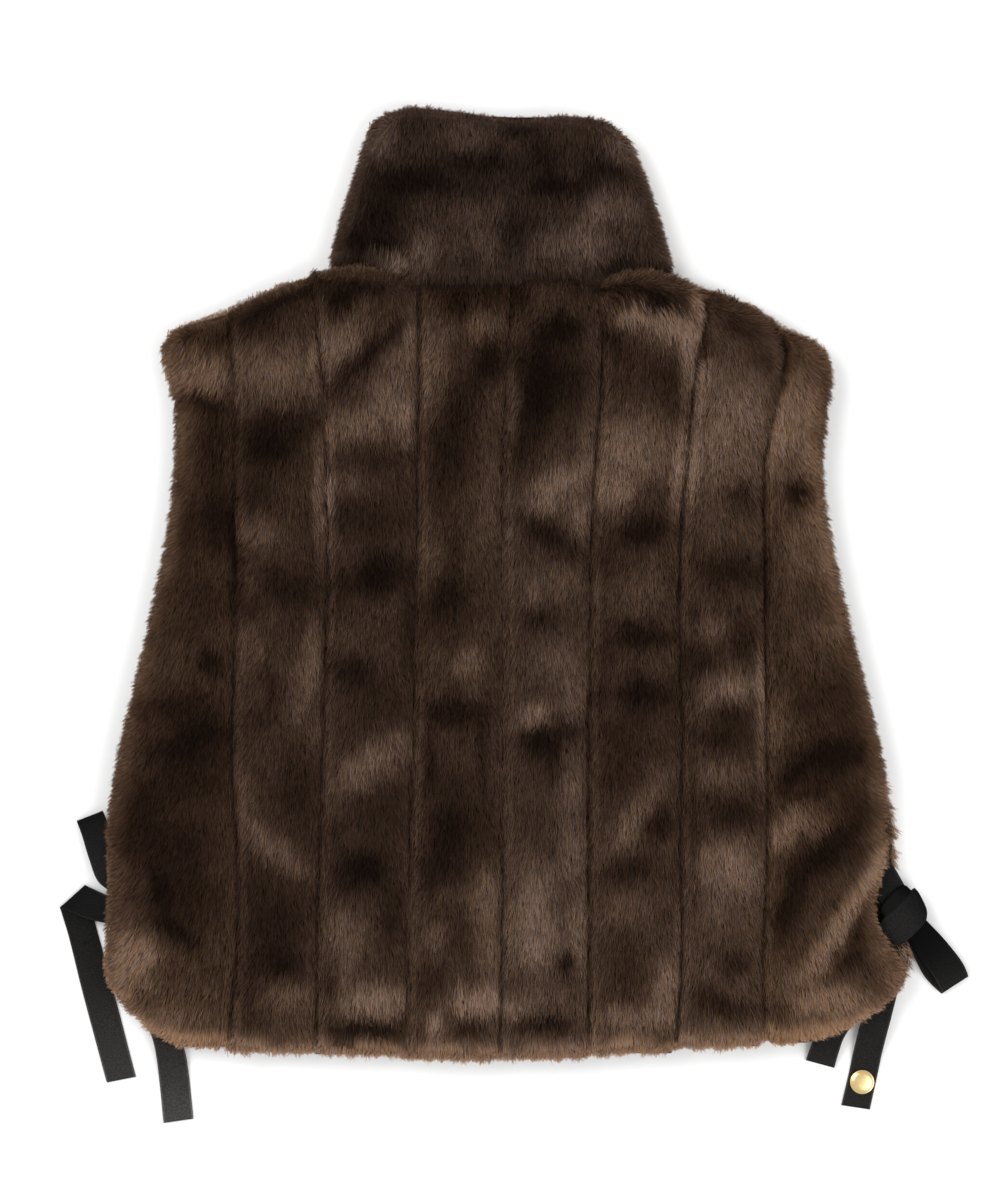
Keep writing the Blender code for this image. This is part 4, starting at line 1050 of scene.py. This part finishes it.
# band: bent round the tie, height (1 - s^4)^(1/2) along it, crowned across, its corners cut by
# the fourth power of the other way, with creases pressed in
def bandGrids(look):
    s = np.sin(np.linspace(-np.pi / 2, np.pi / 2, bandSizes["rows"]))[:, None]
    t = np.sin(np.linspace(-np.pi / 2, np.pi / 2, bandSizes["cols"]))[None, :]
    s, t = np.broadcast_arrays(s, t)
    rise = np.sqrt(np.clip(1 - np.abs(s) ** 4, 0, 1))
    rise = rise * np.sqrt(np.clip(1 - bandSizes["fall"] * np.abs(t) ** 6, 0, 1))
    for start, slope, depth in look["creases"]:
        off = (t - start - slope * s) / bandSizes["crease"]
        rise = rise - depth * bandSizes["press"] * np.exp(-(off ** 2)) * (1 - s * s)
    cut = look["cut"] * np.where((s > 0) & (t > 0), look["full"], 1.0)
    across = look["wide"] * t * (1 - cut * s ** 4)
    along = look["long"] * s * (1 - cut * t ** 4) + look["skew"] * (t - 1) * np.clip(s, 0, 1)
    turn = np.radians(look["turn"])
    x = look["x"] + along * np.cos(turn) - across * np.sin(turn)
    y = look["y"] + along * np.sin(turn) + across * np.cos(turn)
    high = look["high"] * np.maximum(rise, bandSizes["least"])
    upper = np.stack([x, y, look["z"] + high], axis=-1)
    lower = np.stack([x, y, look["z"] - high], axis=-1)
    uv = np.stack([0.5 + 0.4 * t, look["long"] * (s + 1) / ribbonLook["wide"]], axis=-1)
    # painted light and shade along the band, from its near end to its far end
    near, far = look["shade"]
    shade = np.interp(s, [-1, 0, 1], [near, near, far])
    return toFrame(upper)[:, ::-1], toFrame(lower)[:, ::-1], uv[:, ::-1], shade[:, ::-1]


for node, bands in knots.items():
    for order, look in enumerate(bands):
        upper, lower, uv, shade = bandGrids(look)
        name = node + "_wrap_%d" % (order + 1)
        piece = shellPiece(name, upper, lower, ribbonCloth, uv, shade)
        if order == 0:
            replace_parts(piece, node)
print("knots tied")

# stud: its half profile, share of radius and share of height, from the rim inwards
studLook = {"profile": [(0.96, 0.0), (1.0, 0.10), (1.0, 0.30), (0.97, 0.38), (0.91, 0.40), (0.885, 0.46),
                        (0.84, 0.60), (0.74, 0.75), (0.60, 0.87), (0.42, 0.95), (0.22, 0.99)],
            "around": 72, "shader": {"Base Color": (0.83, 0.62, 0.30, 1.0), "Metallic": 1.0},
            "grain": 700.0, "roughness": (0.20, 0.40)}


# stud: rings of the profile turned about the middle of the node's box, closed by a fan of
# triangles below and above; polished metal, its roughness worn by noise
def studPiece():
    low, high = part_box("tie_stud")
    radius = (high.x - low.x) / 2
    middleX = (low.x + high.x) / 2
    middleY = (low.y + high.y) / 2
    angle = np.linspace(0, 2 * np.pi, studLook["around"], endpoint=False)
    share = np.array(studLook["profile"])
    x = middleX + radius * share[:, :1] * np.cos(angle)
    y = middleY + radius * share[:, :1] * np.sin(angle)
    z = low.z + (high.z - low.z) * np.repeat(share[:, 1:], len(angle), axis=1)
    rings = np.stack([x, y, z], axis=-1).reshape(-1, 3)
    poles = np.array([(middleX, middleY, low.z), (middleX, middleY, high.z)])
    points = np.concatenate([rings, poles])
    count = len(angle)
    i = np.arange(count)
    after = (i + 1) % count
    faces = [np.stack([after, i, np.full(count, len(rings))], axis=1)]
    for ring in range(len(share) - 1):
        a, b = ring * count, (ring + 1) * count
        faces.append(np.stack([a + i, a + after, b + after], axis=1))
        faces.append(np.stack([a + i, b + after, b + i], axis=1))
    last = (len(share) - 1) * count
    faces.append(np.stack([last + i, last + after, np.full(count, len(rings) + 1)], axis=1))
    material, tree, links, shader = newMaterial("stud_metal", studLook["shader"])
    wear = tree.new("ShaderNodeMapRange")
    wear.inputs["To Min"].default_value = studLook["roughness"][0]
    wear.inputs["To Max"].default_value = studLook["roughness"][1]
    links.new(objectGrain(tree, links, studLook["grain"]), wear.inputs["Value"])
    links.new(wear.outputs["Result"], shader.inputs["Roughness"])
    piece = meshPiece("stud", points, np.concatenate(faces), material)
    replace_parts(piece, "tie_stud")


studPiece()
print("stud set")

scene = bpy.context.scene

# floor and light: pale plane, one large soft light from each side, bright surroundings
floorLook = {"size": 6.0, "place": (0, 0, -0.0002), "shader": {
    "Base Color": (0.93, 0.93, 0.93, 1.0), "Roughness": 0.9, "Specular IOR Level": 0.1}}
bpy.ops.mesh.primitive_plane_add(size=floorLook["size"], location=floorLook["place"])
floor = bpy.context.object
floor.name = "floor"
floor.data.materials.append(newMaterial("floor", floorLook["shader"])[0])

keyLight = {"place": (-1.5, 0.8, 2.0), "size": 1.6, "power": 36}
fillLight = {"place": (1.7, -1.0, 2.2), "size": 2.0, "power": 37}
for name, look in (("key", keyLight), ("fill", fillLight)):
    data = bpy.data.lights.new(name, "AREA")
    data.energy = look["power"]
    data.size = look["size"]
    lamp = bpy.data.objects.new(name, data)
    lamp.location = look["place"]
    lamp.rotation_euler = (-Vector(look["place"])).to_track_quat("-Z", "Y").to_euler()
    scene.collection.objects.link(lamp)
world = bpy.data.worlds.new("surroundings")
world.use_nodes = True
background = world.node_tree.nodes["Background"]
background.inputs["Color"].default_value = (1, 1, 1, 1)
background.inputs["Strength"].default_value = 0.75
scene.world = world

# camera straight above the middle of the picture
view = {"lens": 100.0, "height": 2.349, "x": 0.0, "y": 323.4}
cameraData = bpy.data.cameras.new("camera")
cameraData.lens = view["lens"]
camera = bpy.data.objects.new("camera", cameraData)
camera.location = (shiftX + view["x"] * mm, shiftY + view["y"] * mm, view["height"])
scene.collection.objects.link(camera)
scene.camera = camera
scene.view_settings.view_transform = "Standard"
print("stage set")
